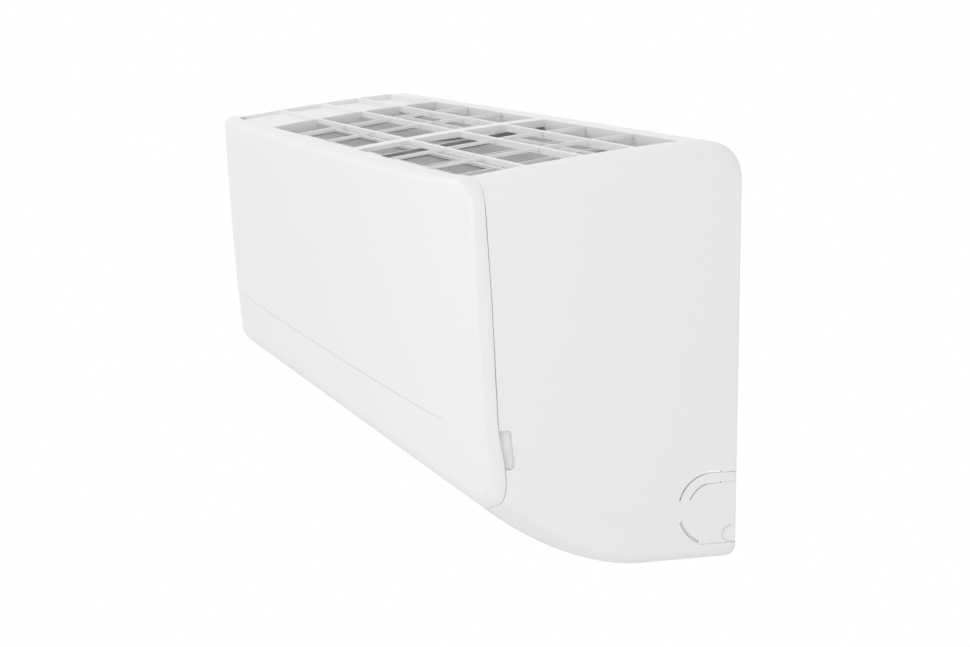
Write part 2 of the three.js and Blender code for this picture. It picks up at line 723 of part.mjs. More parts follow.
function louverMotor() {
  const right = bayLeft - fit;
  const can = rodX(stepperRadius, right - stepperLength, right, stepper, 14);
  const ears = alongX([[stepper.y - 17, stepper.z + 3], [stepper.y + 17, stepper.z + 3], [stepper.y + 17, stepper.z + 9],
    [stepper.y - 17, stepper.z + 9]], right - 1.5, right);
  const nose = rodX(3.3, right - 12, right, louverPivot, 10);
  const socket = rodX(louverPin + running, right - 11, right + 1, louverPivot, 8);
  return cut(join(can, ears, nose), socket);
}

// ------------------------------------------------------------------ upright vanes and their link rods

const ductWay = new THREE.Vector2(ductLip.y - tongue.y, ductLip.z - tongue.z).normalize();
const ductIn = new THREE.Vector2(-ductWay.y, ductWay.x);       // across the duct, away from its upper wall
const vanePivot = { y: tongue.y + vaneAt * ductWay.x, z: tongue.z + vaneAt * ductWay.y };

// A point s along the duct from the vanes' pivot and n across it, as [y, z]
const duct = (s, n) => [vanePivot.y + s * ductWay.x + n * ductIn.x, vanePivot.z + s * ductWay.y + n * ductIn.y];

function vane(x) {
  const outline = [duct(-vaneHalf, 3), duct(-vaneHalf + 3, 1), duct(vaneHalf, 1), duct(vaneHalf, vaneTall - 5),
    duct(vaneHalf - 5, vaneTall), duct(-vaneHalf, vaneTall)];
  const pin = rod(vanePin, [x, ...duct(0, -vanePinDeep)], [x, ...duct(0, 3)], 6);
  const crank = rod(linkPin, [x, ...duct(-vaneCrank, vaneTall - 2)], [x, ...duct(-vaneCrank, vaneTall + linkThick + 1.4)], 6);
  return join(alongX(outline, x - vaneThick / 2, x + vaneThick / 2), pin, crank);
}

const vaneXs = (group) => Array.from({ length: vanesPerGroup }, (_, i) => vaneGroups[group] + i * vanePitch);

function linkRod(group) {
  const xs = vaneXs(group);
  const near = vaneTall + running;
  const outline = [duct(-vaneCrank - linkWide / 2, near), duct(-vaneCrank + linkWide / 2, near),
    duct(-vaneCrank + linkWide / 2, near + linkThick), duct(-vaneCrank - linkWide / 2, near + linkThick)];
  const bar = alongX(outline, xs[0] - 6, xs.at(-1) + 6);
  const holes = xs.map((x) => rod(linkPin + running, [x, ...duct(-vaneCrank, near - 2)],
    [x, ...duct(-vaneCrank, near + linkThick + 2)], 6));
  const grip = vaneGroups[group] + 1.5 * vanePitch;
  const tab = alongX([duct(-vaneCrank - 2, near + 1), duct(-vaneCrank + 2, near + 1), duct(-vaneCrank + 1.4, near + linkThick + 5),
    duct(-vaneCrank - 1.4, near + linkThick + 5)], grip - 6, grip + 6);
  return cut(join(bar, tab), holes);
}

// ------------------------------------------------------------------ rear chassis

// The scroll round the fan, offset outwards
function scrollCurve(offset, steps = 10) {
  const points = [];
  for (let i = 0; i <= steps; i += 1) {
    const share = i / steps;
    const turn = THREE.MathUtils.degToRad(mix(scrollStart, scrollEnd, share));
    const radius = mix(scrollNear, scrollFar, share) + offset;
    points.push([fan.y + radius * Math.cos(turn), fan.z + radius * Math.sin(turn)]);
  }
  return points;
}

function chassis() {
  const lip = -mouthBack + lipSetback;
  const floor = wall + 2 * fit + 0.1;
  const lipFoot = undersideAt(lip) + wall + 3 * fit;
  const run = (x0, x1) => (outline) => alongX(outline, x0, x1);
  const full = run(bayLeft, bayRight);
  const scroll = full([...scrollCurve(0), [lip, lipHeight], [lip, lipFoot], [lip + skin, lipFoot], [lip + skin, lipHeight - 1],
    ...scrollCurve(skin).reverse()]);
  const slab = (y, z) => [[y[0], z[0]], [y[1], z[0]], [y[1], z[1]], [y[0], z[1]]];
  const side = halfWidth - wall - 1;
  const back = alongY([[-side, backWallFoot], [side, backWallFoot], [side, backWallTop - 17], [side - 13, backWallTop],
    [13 - side, backWallTop], [-side, backWallTop - 17]], -backWallAt - skin, -backWallAt);
  const gutter = full(slab([-gutterReach, -backWallAt - 1], [gutterHeight, gutterHeight + skin]));
  const gutterEdge = full(slab([-gutterReach, -gutterReach + skin], [gutterHeight, gutterHeight + gutterLip]));
  const start = scrollCurve(0)[0];
  const nose = full([[start[0] - 2, start[1] + 1], [start[0] + 6, start[1] - 4], [-gutterReach + 8, gutterHeight + 1],
    [-gutterReach, gutterHeight + 1]]);
  const webFoot = full(slab([-channelReach - skin, -channelReach], [floor, channelTop]));
  const base = full(slab([-channelReach - 14, -channelReach], [floor, floor + skin]));
  const inside = full([...scrollCurve(1), [lip + 1, lipHeight], [lip + 1, -10], [-160, -10], [-160, 180], [start[0], 180]]);
  const ribbed = cut(join(full(slab([-75, -backWallAt - 1], [backWallFoot + 4, gutterHeight + 1])),
    full(slab([lip, -channelReach - 1], [lipFoot, channelTop]))), inside);
  const ribs = [-140, -20, 100, 220].map((x) => ribbed.intersect(block([x, x + skin], [-120, 0], [0, 200])));
  const saddles = [-90, 150].map((x) => block([x, x + 14], [-channelReach - 1, -backWallAt - 4], [floor, gasPipeAt.z + 1]));
  const plates = [[bayLeft, bayLeft + plateThick], [bayRight - plateThick, bayRight]].map(([x0, x1]) => alongX(endPlate(floor), x0, x1));
  const cradles = cradleAt.map((x) => alongX([[-backWallAt - 1, backWallFoot], [-backWallAt - 1, fan.z + 12], [fan.y, fan.z + 12],
    [fan.y, fan.z - motorRadius - 8], [-backWallAt - 20, fan.z - motorRadius - 8]], x, x + cradleThick));
  const shelf = block([cradleAt[0] + 1, cradleAt[1] + 1], [fan.y, -backWallAt - 14],
    [fan.z - motorRadius - 8, fan.z - motorRadius - 8 + skin]);
  const hooks = [-230, 0, 230].map((x) => join(
    block([x - 12, x + 12], [-backWallAt - 1, -plateSheet - fit], [plateTop + fit, plateTop + fit + skin]),
    block([x - 12, x + 12], [-plateFlange + plateSheet + 2, -plateSheet - fit], [plateTop - 6, plateTop + 1])));
  let body = join(scroll, back, gutter, gutterEdge, nose, webFoot, base, ribs, saddles, plates, cradles, shelf, hooks);
  body = cut(body,
    rodX(fanRadius + 3, bayLeft + plateThick, bayRight - plateThick, fan, 24),
    rodX(motorRadius + fit, motorLeft - 5, motorRight + 5, fan, 24),
    rodX(hubRadius + 1, bayLeft - 1, bayLeft + plateThick + 1, fan, 14),
    rodX(bearingRadius + fit, bayRight - plateThick - 1, bayRight + 1, fan, 14),
    rodX(louverPin + running, bayLeft - 1, bayLeft + plateThick + 1, louverPivot, 8),
    rodX(louverPin + running, bayRight - plateThick - 1, bayRight + 1, louverPivot, 8),
    rodX(gasRadius + fit, -180, 240, gasPipeAt, 12),
    rodX(liquidRadius + fit, -180, 240, liquidPipeAt, 12),
    rodX(drainRadius + fit, bayLeft - 1, bayLeft + plateThick + 1, drainAt, 12),
    rodX(drainRadius + fit, bayRight - plateThick - 1, bayRight + 1, drainAt, 12));
  return body;
}

// Outline of the plates that close the fan compartment at both ends
function endPlate(floor) {
  const hem = [];
  for (let i = 0; i <= 4; i += 1) {
    const y = mix(-mouthBack + 2, -panFront + 1, i / 4);
    hem.push([y, undersideAt(y) + wall * 1.35 + 1.2]);
  }
  return [[-channelReach, floor], [-undersideFlat, floor], ...hem, [-panFront + 1, panRim], [-139.5, panRim], [-139.5, 150],
    [-124, 168], [-88, 174], [-gutterReach - 1, gutterHeight + gutterLip], [-gutterReach + 1, gutterHeight + 1],
    [-46, 132], ...scrollCurve(1, 8).slice(1, 6)];
}

const bearingRadius = 13;
const gasPipeAt = { y: -28, z: 36 };
const liquidPipeAt = { y: -44, z: 20 };
const drainAt = { y: -155, z: 55 };
const drainRadius = 6;

function mountingPlate() {
  const half = plateWide / 2;
  const sheetFace = block([-half, half], [-plateSheet, 0], [plateFoot, plateTop]);
  const flange = block([-half, half], [-plateFlange, 0], [plateTop - plateSheet, plateTop]);
  const footFlange = block([-half, half], [-plateFlange, 0], [plateFoot, plateFoot + plateSheet]);
  const stops = [-260, 260].map((x) => block([x - 15, x + 15], [-backWallAt + fit, -0.5], [plateFoot + 20, plateFoot + 20 + plateSheet]));
  const windows = [-200, -80, 80, 200].map((x) => block([x - 40, x + 40], [-2, 1], [115, 185]));
  const holes = [-290, 0, 290].flatMap((x) => [95, 210].map((z) => rod(3, [x, -2, z], [x, 1, z], 10)));
  const catches = [-230, 0, 230].map((x) => block([x - 14, x + 14], [-plateFlange - 1, -plateSheet], [plateTop - 7, plateTop + 1]));
  const rims = [-230, 0, 230].map((x) => block([x - 13, x + 13], [-plateSheet, 0], [plateTop - 8, plateTop]));
  return cut(join(cut(join(sheetFace, flange, footFlange), catches), rims, stops), windows, holes);
}

// ------------------------------------------------------------------ drain pan

function drainPan() {
  const [x0, x1] = [bayLeft + plateThick + fit, bayRight - plateThick - fit];
  const outline = [[-panFront, panRim], [-panFront, ductLip.z + 2], [ductLip.y, ductLip.z], [tongue.y, tongue.z],
    [tongue.y + 3.5, tongue.z + 3], [tongue.y + 3, panRim - 3], [tongue.y + 0.8, panRim - 3], [tongue.y - 2, tongue.z + 7],
    [tongue.y - 10, troughFloor + 3], [tongue.y - 16, troughFloor], [-panFront + 6, troughFloor], [-panFront + 2.4, troughFloor + 4],
    [-panFront + 2.4, panRim]];
  const body = alongX(outline, x0, x1);
  const ends = [[x0, x0 + 2], [x1 - 2, x1]].map(([from, to]) => alongX([[-panFront + 1, panRim - 6], [-panFront + 1, troughFloor - 1],
    [tongue.y - 12, troughFloor - 1], [tongue.y - 1, tongue.z + 6], [tongue.y + 2, panRim - 6]], from, to));
  const sockets = Object.keys(vaneGroups).flatMap(vaneXs).map((x) => rod(vanePin + running, [x, ...duct(0, -vanePinDeep - fit)],
    [x, ...duct(0, 2)], 6));
  const bosses = screwAt.map((x) => rod(screwRadius + fit, [x, -panFront - 1, screwHeight], [x, -panFront + 8, screwHeight], 8));
  const drains = [[x0 - 1, x0 + 14], [x1 - 14, x1 + 1]].flatMap(([from, to]) => [rodX(drainRadius - 1, from, to, drainAt, 12)]);
  const sumps = [x0 + 11, x1 - 11].map((x) => rod(4, [x, drainAt.y, drainAt.z], [x, drainAt.y, troughFloor + 4], 8));
  return cut(join(body, ends), sockets, bosses, drains, sumps);
}

function drainTube() {
  const [x, { y, z }] = [bayLeft, drainAt];
  const route = [[x - fit, y, z], [x - 10, y, z], [x - 22, y + 8, z - 6], [x - 29, y + 40, z - 20], [x - 29, y + 80, z - 33],
    [x - 29, y + 104, z - 38], [x - 29, y + 118, z - 38]];
  const grown = pipe(drainRadius + 1.6, route, 10, 6);
  const spigot = rodX(drainRadius - 0.3, x - 2, x + plateThick, drainAt, 12);
  const bore = pipe(drainRadius - 1.6, [[x + 6, y, z], ...route, [x - 29, y + 124, z - 38]], 12, 6);
  return cut(join(grown, spigot), bore);
}

function drainCap() {
  const x = bayRight;
  return join(rodX(drainRadius - 1.4, x - plateThick - 6, x + 1, drainAt, 12), rodX(drainRadius + 2, x + fit, x + 5, drainAt, 12));
}

// ------------------------------------------------------------------ heat exchanger

function slabOutline([from, to], thick, extend) {
  const way = new THREE.Vector2(to[0] - from[0], to[1] - from[1]).normalize();
  const side = new THREE.Vector2(-way.y, way.x).multiplyScalar(thick / 2);
  const corner = ([y, z], along, across) => [y + along * extend * way.x + across * side.x, z + along * extend * way.y + across * side.y];
  return [corner(from, -1, 1), corner(from, -1, -1), corner(to, 1, -1), corner(to, 1, 1)];
}

const coilLeft = bayLeft + sheetThick;
const coilRight = bayRight - sheetThick;

// Fins: a slab whose faces are grooved like a packed stack of plates
function finPack(line) {
  const slab = alongX(slabOutline(line, finThick, 0), coilLeft + fit, coilRight - fit);
  const centre = [(line[0][0] + line[1][0]) / 2, (line[0][1] + line[1][1]) / 2];
  const way = new THREE.Vector2(line[1][0] - line[0][0], line[1][1] - line[0][1]);
  const long = way.length() / 2;
  way.normalize();
  const grooves = [];
  for (let x = coilLeft + 30; x < coilRight - 20; x += 90) {
    const ends = [-1, 1].map((t) => [centre[0] + t * (long + 2) * way.x, centre[1] + t * (long + 2) * way.y]);
    grooves.push(cut(alongX(slabOutline(ends, finThick + 4, 0), x, x + 2), alongX(slabOutline(ends, finThick - 3, 0), x - 1, x + 3)));
  }
  return cut(slab, grooves);
}

function tubeSheet(x, out) {
  const lines = Object.values(packs);
  const face = [x, x + sheetThick];
  const plates = lines.map((line) => alongX(slabOutline(line, finThick + 2 * sheetMargin, sheetMargin), ...face));
  const bridges = [[lines[0][1], lines[1][0]], [lines[1][1], lines[2][0]]].map(([a, b]) => alongX(slabOutline([a, b], 14, 5), ...face));
  const from = out > 0 ? x + sheetThick - 0.5 : x + 0.5;
  const bends = lines.flatMap((line) => {
    const way = new THREE.Vector2(line[1][0] - line[0][0], line[1][1] - line[0][1]);
    const count = Math.floor(way.length() / (2 * bendRadius + 4));
    return Array.from({ length: count }, (_, i) => {
      const t = (i + 0.5) / count;
      const mid = [mix(line[0][0], line[1][0], t), mix(line[0][1], line[1][1], t)];
      const unit = way.clone().normalize();
      const at = (turn) => [from + out * bendRadius * Math.sin(turn), mid[0] - bendRadius * Math.cos(turn) * unit.x,
        mid[1] - bendRadius * Math.cos(turn) * unit.y];
      return pipe(tubeRadius, [0, 0.25, 0.5, 0.75, 1].map((s) => at(Math.PI * s)), 3, 4);
    });
  });
  return join(plates, bridges, bends);
}

function coolantPipe(radius, { y, z }, start, out, end) {
  const drop = bayLeft - out;
  return pipe(radius, [[bayLeft - fit, ...start], [bayLeft - 7, ...start], [drop, start[0] + 8, start[1] - 12],
    [drop, y - 1, start[1] - 40], [drop, y, z + 36], [drop + 4, y, z + 12], [drop + 22, y, z], [drop + 50, y, z],
    [mix(drop, end, 0.6), y, z], [end, y, z]], 20, 6);
}

function flareNut(radius, { y, z }, x) {
  const across = radius * 1.9;
  const nut = rodX(across, x - 6, x + 12, { y, z }, 6);
  const collar = rodX(radius * 1.5, x - 12, x - 5, { y, z }, 10);
  return cut(join(nut, collar), rodX(radius + fit, x - 13, x + 13, { y, z }, 12));
}

function coilSensor() {
  const [y, z] = [-165, 135];
  return join(rodX(3, bayLeft - 26, bayLeft - fit, { y, z }, 8), rodX(3.8, bayLeft - 12, bayLeft - 8, { y, z }, 8));
}

// ------------------------------------------------------------------ fan

function blade(turn) {
  const points = [];
  const back = [];
  for (const t of [0, 1]) {
    const radius = mix(fanInner, fanRadius, t);
    const angle = turn + THREE.MathUtils.degToRad(bladeSweep * t ** 1.6);
    const half = (bladeThick / 2 / radius) * (1 - 0.35 * t);
    points.push([fan.y + radius * Math.cos(angle - half), fan.z + radius * Math.sin(angle - half)]);
    back.unshift([fan.y + radius * Math.cos(angle + half), fan.z + radius * Math.sin(angle + half)]);
  }
  return alongX([...points, ...back], fanLeft + fanDiscThick / 2, fanRight - fanDiscThick / 2);
}

function fanWheel() {
  const discs = Array.from({ length: fanDiscs }, (_, i) => {
    const x = mix(fanLeft, fanRight - fanDiscThick, i / (fanDiscs - 1));
    const ring = rodX(fanRadius + 0.6, x, x + fanDiscThick, fan, 24);
    const inner = i > 0 && i < fanDiscs - 1;
    return inner ? cut(ring, rodX(fanInner - 5, x - 1, x + fanDiscThick + 1, fan, 16)) : ring;
  });
  const blades = Array.from({ length: fanBlades }, (_, i) => blade((2 * Math.PI * i) / fanBlades));
  const hubs = [rodX(hubRadius, fanLeft - hubReach, fanLeft + 12, fan, 12), rodX(hubRadius, fanRight - 10, fanRight + 2, fan, 12)];
  return cut(join(discs, blades, hubs), rodX(shaftRadius + fit, fanLeft - hubReach - 1, fanLeft + 10, fan, 10),
    rodX(shaftRadius + fit, fanRight - 8, fanRight + 3, fan, 10));
}

function motorBody() {
  const half = (motorRight - motorLeft) / 2;
  const outline = [[0, -half], [motorNose, -half], [motorNose + 2, -half + 5], [30, -half + 7], [motorRadius, -half + 17],
    [motorRadius, half - 17], [30, half - 7], [motorNose + 2, half - 5], [motorNose, half], [0, half]];
  const geometry = new THREE.LatheGeometry(outline.map(([r, l]) => new THREE.Vector2(r, l)), 24);
  geometry.rotateZ(-Math.PI / 2);
  geometry.translate((motorLeft + motorRight) / 2, fan.y, fan.z);
  const bore = rodX(shaftRadius + running, motorLeft + 20, motorRight + 2, fan, 10);
  return cut(solidOf(geometry), bore);
}

function motorCover() {
  const [x0, x1] = [cradleAt[0] + 4, cradleAt[1]];
  const inner = motorRadius + fit;
  const arch = [];
  const outerArch = [];
  for (let i = 0; i <= 11; i += 1) {
    const turn = THREE.MathUtils.degToRad(mix(8, 200, i / 11));
    arch.push([fan.y + inner * Math.cos(turn), fan.z + inner * Math.sin(turn)]);
    outerArch.unshift([fan.y + (inner + 2.2) * Math.cos(turn), fan.z + (inner + 2.2) * Math.sin(turn)]);
  }
  const strap = alongX([...arch, ...outerArch], x0 + 6, x1 - 2);
  const foot = block([x0 + 6, x1 - 2], [fan.y + inner + 1, -backWallAt - skin - fit], [fan.z + 13, fan.z + 16]);
  const pad = block([x0 + 6, x1 - 2], [-backWallAt - skin - fit - 2.2, -backWallAt - skin - fit], [fan.z + 13, fan.z + 30]);
  const neck = block([x0 + 6, x1 - 2], [fan.y + inner * 0.93, fan.y + inner + 3], [fan.z + 13, fan.z + 16]);
  return cut(join(strap, foot, pad, neck), rodX(inner, motorLeft, motorRight, fan, 24));
}

function bearing() {
  const [x0, x1] = [bayRight - plateThick - 3, bayRight + 4];
  return cut(join(rodX(bearingRadius, x0, x1, fan, 14), rodX(bearingRadius + 3, bayRight + fit, x1, fan, 14)),
    rodX(shaftRadius + fit, x0 - 1, x1 + 1, fan, 10));
}

// ------------------------------------------------------------------ air filters

const filterSpans = () => grilleGroups.map((group, i) => [[bayLeft + 2, group.at(-1) + 3], [group[0] + 8, bayRight - 9]][i]);

// The filter's path drawn as a band between two offsets, shortened by trim at both ends
function filterBand(near, far, trim) {
  const centre = { y: filterKnee.y + filterBend, z: filterKnee.z };
  const reach = new THREE.Vector2(filterBack.y - centre.y, filterBack.z - centre.z);
  const slope = reach.angle() - Math.asin(filterBend / reach.length());
  const edge = (offset) => {
    const radius = filterBend + offset;
    const arc = Array.from({ length: 5 }, (_, i) => {
      const turn = mix(Math.PI, Math.PI / 2 + slope, i / 4);
      return [centre.y + radius * Math.cos(turn), centre.z + radius * Math.sin(turn)];
    });
    const end = [filterBack.y - trim * Math.cos(slope) - offset * Math.sin(slope),
      filterBack.z - trim * Math.sin(slope) + offset * Math.cos(slope)];
    return [[filterFoot.y - offset, filterFoot.z + trim], ...arc, end];
  };
  return [...edge(far), ...edge(near).reverse()];
}

function filterFrame([x0, x1]) {
  const half = filterThick / 2;
  const band = alongX(filterBand(-half, half, 0), x0, x1);
  const pitch = (x1 - x0 - 2 * filterRim + filterRib) / filterCells;
  const frontRows = [[filterFoot.z + filterRim, 164], [164 + filterRib, filterKnee.z - 6]];
  const topRows = [[-166, -138], [-138 + filterRib, -72], [-72 + filterRib, filterBack.y - filterRim]];
  const holes = [];
  for (let i = 0; i < filterCells; i += 1) {
    const span = [x0 + filterRim + i * pitch, x0 + filterRim + (i + 1) * pitch - filterRib];
    frontRows.forEach((rows) => holes.push(block(span, [-190, -165], rows)));
    topRows.forEach((rows) => holes.push(block(span, rows, [252, 290])));
  }
  return cut(band, holes);
}

function filterNet([x0, x1]) {
  const near = -filterThick / 2 - fit;
  return alongX(filterBand(near - netThick, near, 2), x0 + 2, x1 - 2);
}

// ------------------------------------------------------------------ control box

function controlTray() {
  const { x, y, z } = box0;
  const tray = cut(block(x, y, z), block([x[0] + sheet, x[1] - sheet], [y[0] - 1, y[1] - sheet], [z[0] + sheet, z[1] - sheet]));
  const standoffs = [[-140, 90], [-40, 90], [-140, 210], [-40, 210]].map(([sy, sz]) => rod(3, [x[0] + sheet - 0.5, sy, sz],
    [x[0] + sheet + 4, sy, sz], 8));
  return join(tray, standoffs);
}

function controlCover() {
  const { x, y, z } = box0;
  const foot = z[0] + 34;
  const face = block([x[0], x[1]], [y[0] - fit - sheet, y[0] - fit], [foot, z[1]]);
  const lips = [[x[0] + sheet + fit, x[0] + 2 * sheet + fit], [x[1] - 2 * sheet - fit, x[1] - sheet - fit]]
    .map((span) => block(span, [y[0] - fit - 0.5, y[0] + 8], [foot + 4, z[1] - sheet - fit - 1]));
  return join(face, lips);
}

function controlBoard() {
  const x = box0.x[0] + sheet + 4 + fit;
  const plate = block([x, x + 1.6], [-150, -30], [80, 222]);
  const relays = [[-130, 190], [-104, 190], [-78, 190]].map(([y, z]) => block([x + 1, x + 17], [y, y + 18], [z, z + 22]));
  const capacitor = rod(11, [x + 1, -60, 110], [x + 36, -60, 110], 12);
  const small = [[-92, 105], [-92, 128], [-60, 150]].map(([y, z]) => rod(5, [x + 1, y, z], [x + 18, y, z], 8));
  const transformer = block([x + 1, x + 30], [-136, -104], [130, 166]);
  return join(plate, relays, capacitor, small, transformer);
}

function terminalBlock() {
  const { x, y, z } = box0;
  const floor = z[0] + sheet + fit;
  const base = block([x[0] + 14, x[1] - 12], [y[0] + 5, y[0] + 27], [floor, floor + 9]);
  const walls = Array.from({ length: 5 }, (_, i) => {
    const left = x[0] + 14 + (i * (x[1] - x[0] - 28)) / 4;
    return block([left, left + 2], [y[0] + 5, y[0] + 27], [floor + 8, floor + 15]);
  });
  return join(base, walls);
}

function cableClamp() {
  const { x, y, z } = box0;
  const floor = z[0] + sheet + fit;
  const middle = (x[0] + x[1]) / 2;
  const bar = block([middle - 18, middle + 18], [y[0] + 34, y[0] + 42], [floor, floor + 10]);
  return cut(bar, rod(4, [middle, y[0] + 30, floor + 8], [middle, y[0] + 50, floor + 8], 12));
}

function roomSensor() {
  const x = box0.x[1] + fit;
  const clip = block([x, x + 2], [-150, -136], [196, 210]);
  const arm = block([x + 1, x + 8], [-146, -140], [200, 203]);
  const bulb = rod(2.6, [x + 8, -152, 201.5], [x + 8, -132, 201.5], 10);
  return join(clip, arm, bulb);
}

// ------------------------------------------------------------------ assembly

const unit = new THREE.Group();
unit.position.z = -originHeight;

function place(name, solid, look) {
  const mesh = new THREE.Mesh(geometryOf(solid.simplify(meshTolerance)), look);
  mesh.name = name;
  unit.add(mesh);
}

place('casing', casing(), looks.whitePlastic);
place('front_panel', frontPanel(), looks.whitePlastic);
place('rear_chassis', chassis(), looks.innerPlastic);
place('mounting_plate', mountingPlate(), looks.galvanised);
place('drain_pan', drainPan(), looks.innerPlastic);
place('drain_tube', drainTube(), looks.greyPlastic);
place('drain_cap', drainCap(), looks.rubber);
place('louver', louver(), looks.whitePlastic);
place('louver_motor', louverMotor(), looks.steel);

for (const group of Object.keys(vaneGroups)) {
  vaneXs(group).forEach((x, i) => place(`vane_${group}_${i + 1}`, vane(x), looks.innerPlastic));
  place(`vane_link_${group}`, linkRod(group), looks.innerPlastic);
}

for (const [name, line] of Object.entries(packs)) {
  place(name, finPack(line), looks.fins);
}
place('tube_sheet_left', tubeSheet(bayLeft, -1), looks.galvanised);
place('tube_sheet_right', tubeSheet(bayRight - sheetThick, 1), looks.galvanised);
const gasEnd = 250;
const liquidEnd = 200;
place('gas_pipe', coolantPipe(gasRadius, gasPipeAt, [-52, 205], 18, gasEnd), looks.copper);
place('liquid_pipe', coolantPipe(liquidRadius, liquidPipeAt, [-66, 224], 29, liquidEnd), looks.copper);
place('gas_flare_nut', flareNut(gasRadius, gasPipeAt, gasEnd - 10), looks.brass);
place('liquid_flare_nut', flareNut(liquidRadius, liquidPipeAt, liquidEnd - 10), looks.brass);
place('coil_sensor', coilSensor(), looks.copper);

place('fan_wheel', fanWheel(), looks.greyPlastic);
place('motor_shaft', rodX(shaftRadius, motorLeft + 24, fanLeft + 8, fan, 10), looks.steel);
place('stub_shaft', rodX(shaftRadius, fanRight - 6, bayRight + 8, fan, 10), looks.steel);
place('fan_bearing', bearing(), looks.rubber);
place('fan_motor', motorBody(), looks.steel);
place('motor_cover', motorCover(), looks.innerPlastic);

filterSpans().forEach((span, i) => {
  const name = ['left', 'right'][i];
  place(`${name}_filter_frame`, filterFrame(span), looks.whitePlastic);
  place(`${name}_filter_net`, filterNet(span), looks.netBlack);
});

place('control_box', controlTray(), looks.galvanised);
place('control_box_cover', controlCover(), looks.galvanised);
place('control_board', controlBoard(), looks.board);
place('terminal_block', terminalBlock(), looks.darkPlastic);
place('cable_clamp', cableClamp(), looks.darkPlastic);
place('room_sensor', roomSensor(), looks.darkPlastic);
place('indicator_board', indicatorBoard(), looks.board);
place('push_button', pushButton(), looks.greyPlastic);

screwAt.forEach((x, i) => {
  const { screw, cap } = screwParts(x);
  const name = ['left', 'middle', 'right'][i];
  place(`casing_screw_${name}`, screw, looks.steel);
  place(`screw_cap_${name}`, cap, looks.whitePlastic);
});

export default unit;
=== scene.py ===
"""Wall-hung indoor unit of a split air conditioner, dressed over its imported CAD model.

Sizes below are millimetres, heights counted from the underside of the casing; metres() turns them into the
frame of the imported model, whose origin is the centre of the mounting plate on the wall.
"""
import json
import math

import bmesh
import bpy
from mathutils import Euler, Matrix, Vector


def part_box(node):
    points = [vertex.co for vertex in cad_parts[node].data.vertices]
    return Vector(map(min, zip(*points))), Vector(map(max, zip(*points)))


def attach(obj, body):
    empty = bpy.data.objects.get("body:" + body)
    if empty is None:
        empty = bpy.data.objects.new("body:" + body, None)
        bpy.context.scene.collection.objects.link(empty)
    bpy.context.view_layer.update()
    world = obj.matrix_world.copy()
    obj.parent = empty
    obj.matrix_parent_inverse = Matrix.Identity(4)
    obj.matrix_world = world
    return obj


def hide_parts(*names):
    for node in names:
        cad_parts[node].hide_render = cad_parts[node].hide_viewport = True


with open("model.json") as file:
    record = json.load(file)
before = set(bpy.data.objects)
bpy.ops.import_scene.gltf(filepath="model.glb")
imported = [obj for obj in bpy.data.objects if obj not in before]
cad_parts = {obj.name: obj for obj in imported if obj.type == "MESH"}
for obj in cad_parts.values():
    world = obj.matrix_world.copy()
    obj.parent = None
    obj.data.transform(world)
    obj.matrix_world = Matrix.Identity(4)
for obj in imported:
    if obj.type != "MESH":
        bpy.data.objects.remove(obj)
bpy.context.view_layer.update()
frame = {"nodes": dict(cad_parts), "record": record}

bl_info = {
    "name": "Mini split indoor unit",
    "version": (1, 0, 0),
    "blender": (4, 5, 0),
    "location": "View3D > Sidebar > Indoor Unit",
    "description": "Builds the pieces of a wall-hung air conditioner unit over its CAD frame",
    "category": "Object",
}

MM = 0.001
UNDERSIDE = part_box("casing")[0].z * 1000     # height of the casing's underside in the frame

# Casing and panel, seen from the side
WIDTH = 780.0
HALF = WIDTH / 2
HEIGHT = 291.0
DEPTH = 215.0
WALL = 2.6
PANEL_WALL = 2.4
TOP_FALL = 25.4
TOP_FALL_POWER = 1.3
REAR_TOP_REACH = 22.0
REAR_FOOT_REACH = 8.0
FRONT_LEAN = 9.7
FRONT_LEAN_POWER = 1.3
CREASE = 102.0
CREASE_STEP = 0.9
CREASE_HALF = 0.7
CREASE_GROOVE = (1.0, 0.5)            # width and depth of the fine groove along the crease
CREASE_END = 355.0
CREASE_FADE = 45.0
LOWER_LEAN = 0.105
UNDER_FLAT = 70.0
UNDER_RUN = 105.0
UNDER_RISE = 41.5
UNDER_POWER = 1.9
FRONT_TOP_REACH = 5.0
FRONT_FOOT_REACH = 9.0

# Rounding towards the side walls
SHOULDER = 20.0
FOOT_ROUND = 9.0
FOOT_CHAMFER = 14.0                   # height of the chamfer that the rounding turns into near the front
CHAMFER_FROM = 80.0
CHAMFER_TO = 160.0
CHAMFER_SHARE = 0.75
FRONT_ROUND = 5.0
REAR_ROUND = 2.0
CROWN_MIDDLE = 4.0
CROWN_ENDS = 14.0
CROWN_POWER = 12
FRONT_TOP = HEIGHT - TOP_FALL

# Seam between panel and casing, on the side walls: height and depth
SEAM_LINE = [(30, -186), (42, -178), (49.5, -173.1), (60, -169.4), (74, -169.8), (101.6, -174.4),
             (190, -179.4), (262, -184.5), (310, -185.5)]
SEAM_FORWARD = 13.0
SEAM_GAP = 0.6
PANEL_LIFT = 1.8

# Top intake grille
GRILLE_LEFT = -367.0
GRILLE_FRONT = 192.0
GRILLE_BACK = 36.0
BLIND_END = -213.0
GRILLE_GROUPS = [(-210, -113, -18, 72), (92, 182, 278, 363)]
GRILLE_RIBS = [147.0, 105.3, 67.8]
GRILLE_RIB = 3.0
RIB_DEEP_FRONT = 3.2
RIB_DEEP_BACK = 6.0
CROSS_SHARE = 0.5
BLIND_SHARE = 0.8
BLIND_FLOOR = 1.8
REAR_RIB_DROP = 3.5                   # how much deeper the rib behind the last row is
BAY_WALL_DROP = 15.0                  # height of the wall between the air intake and the control bay

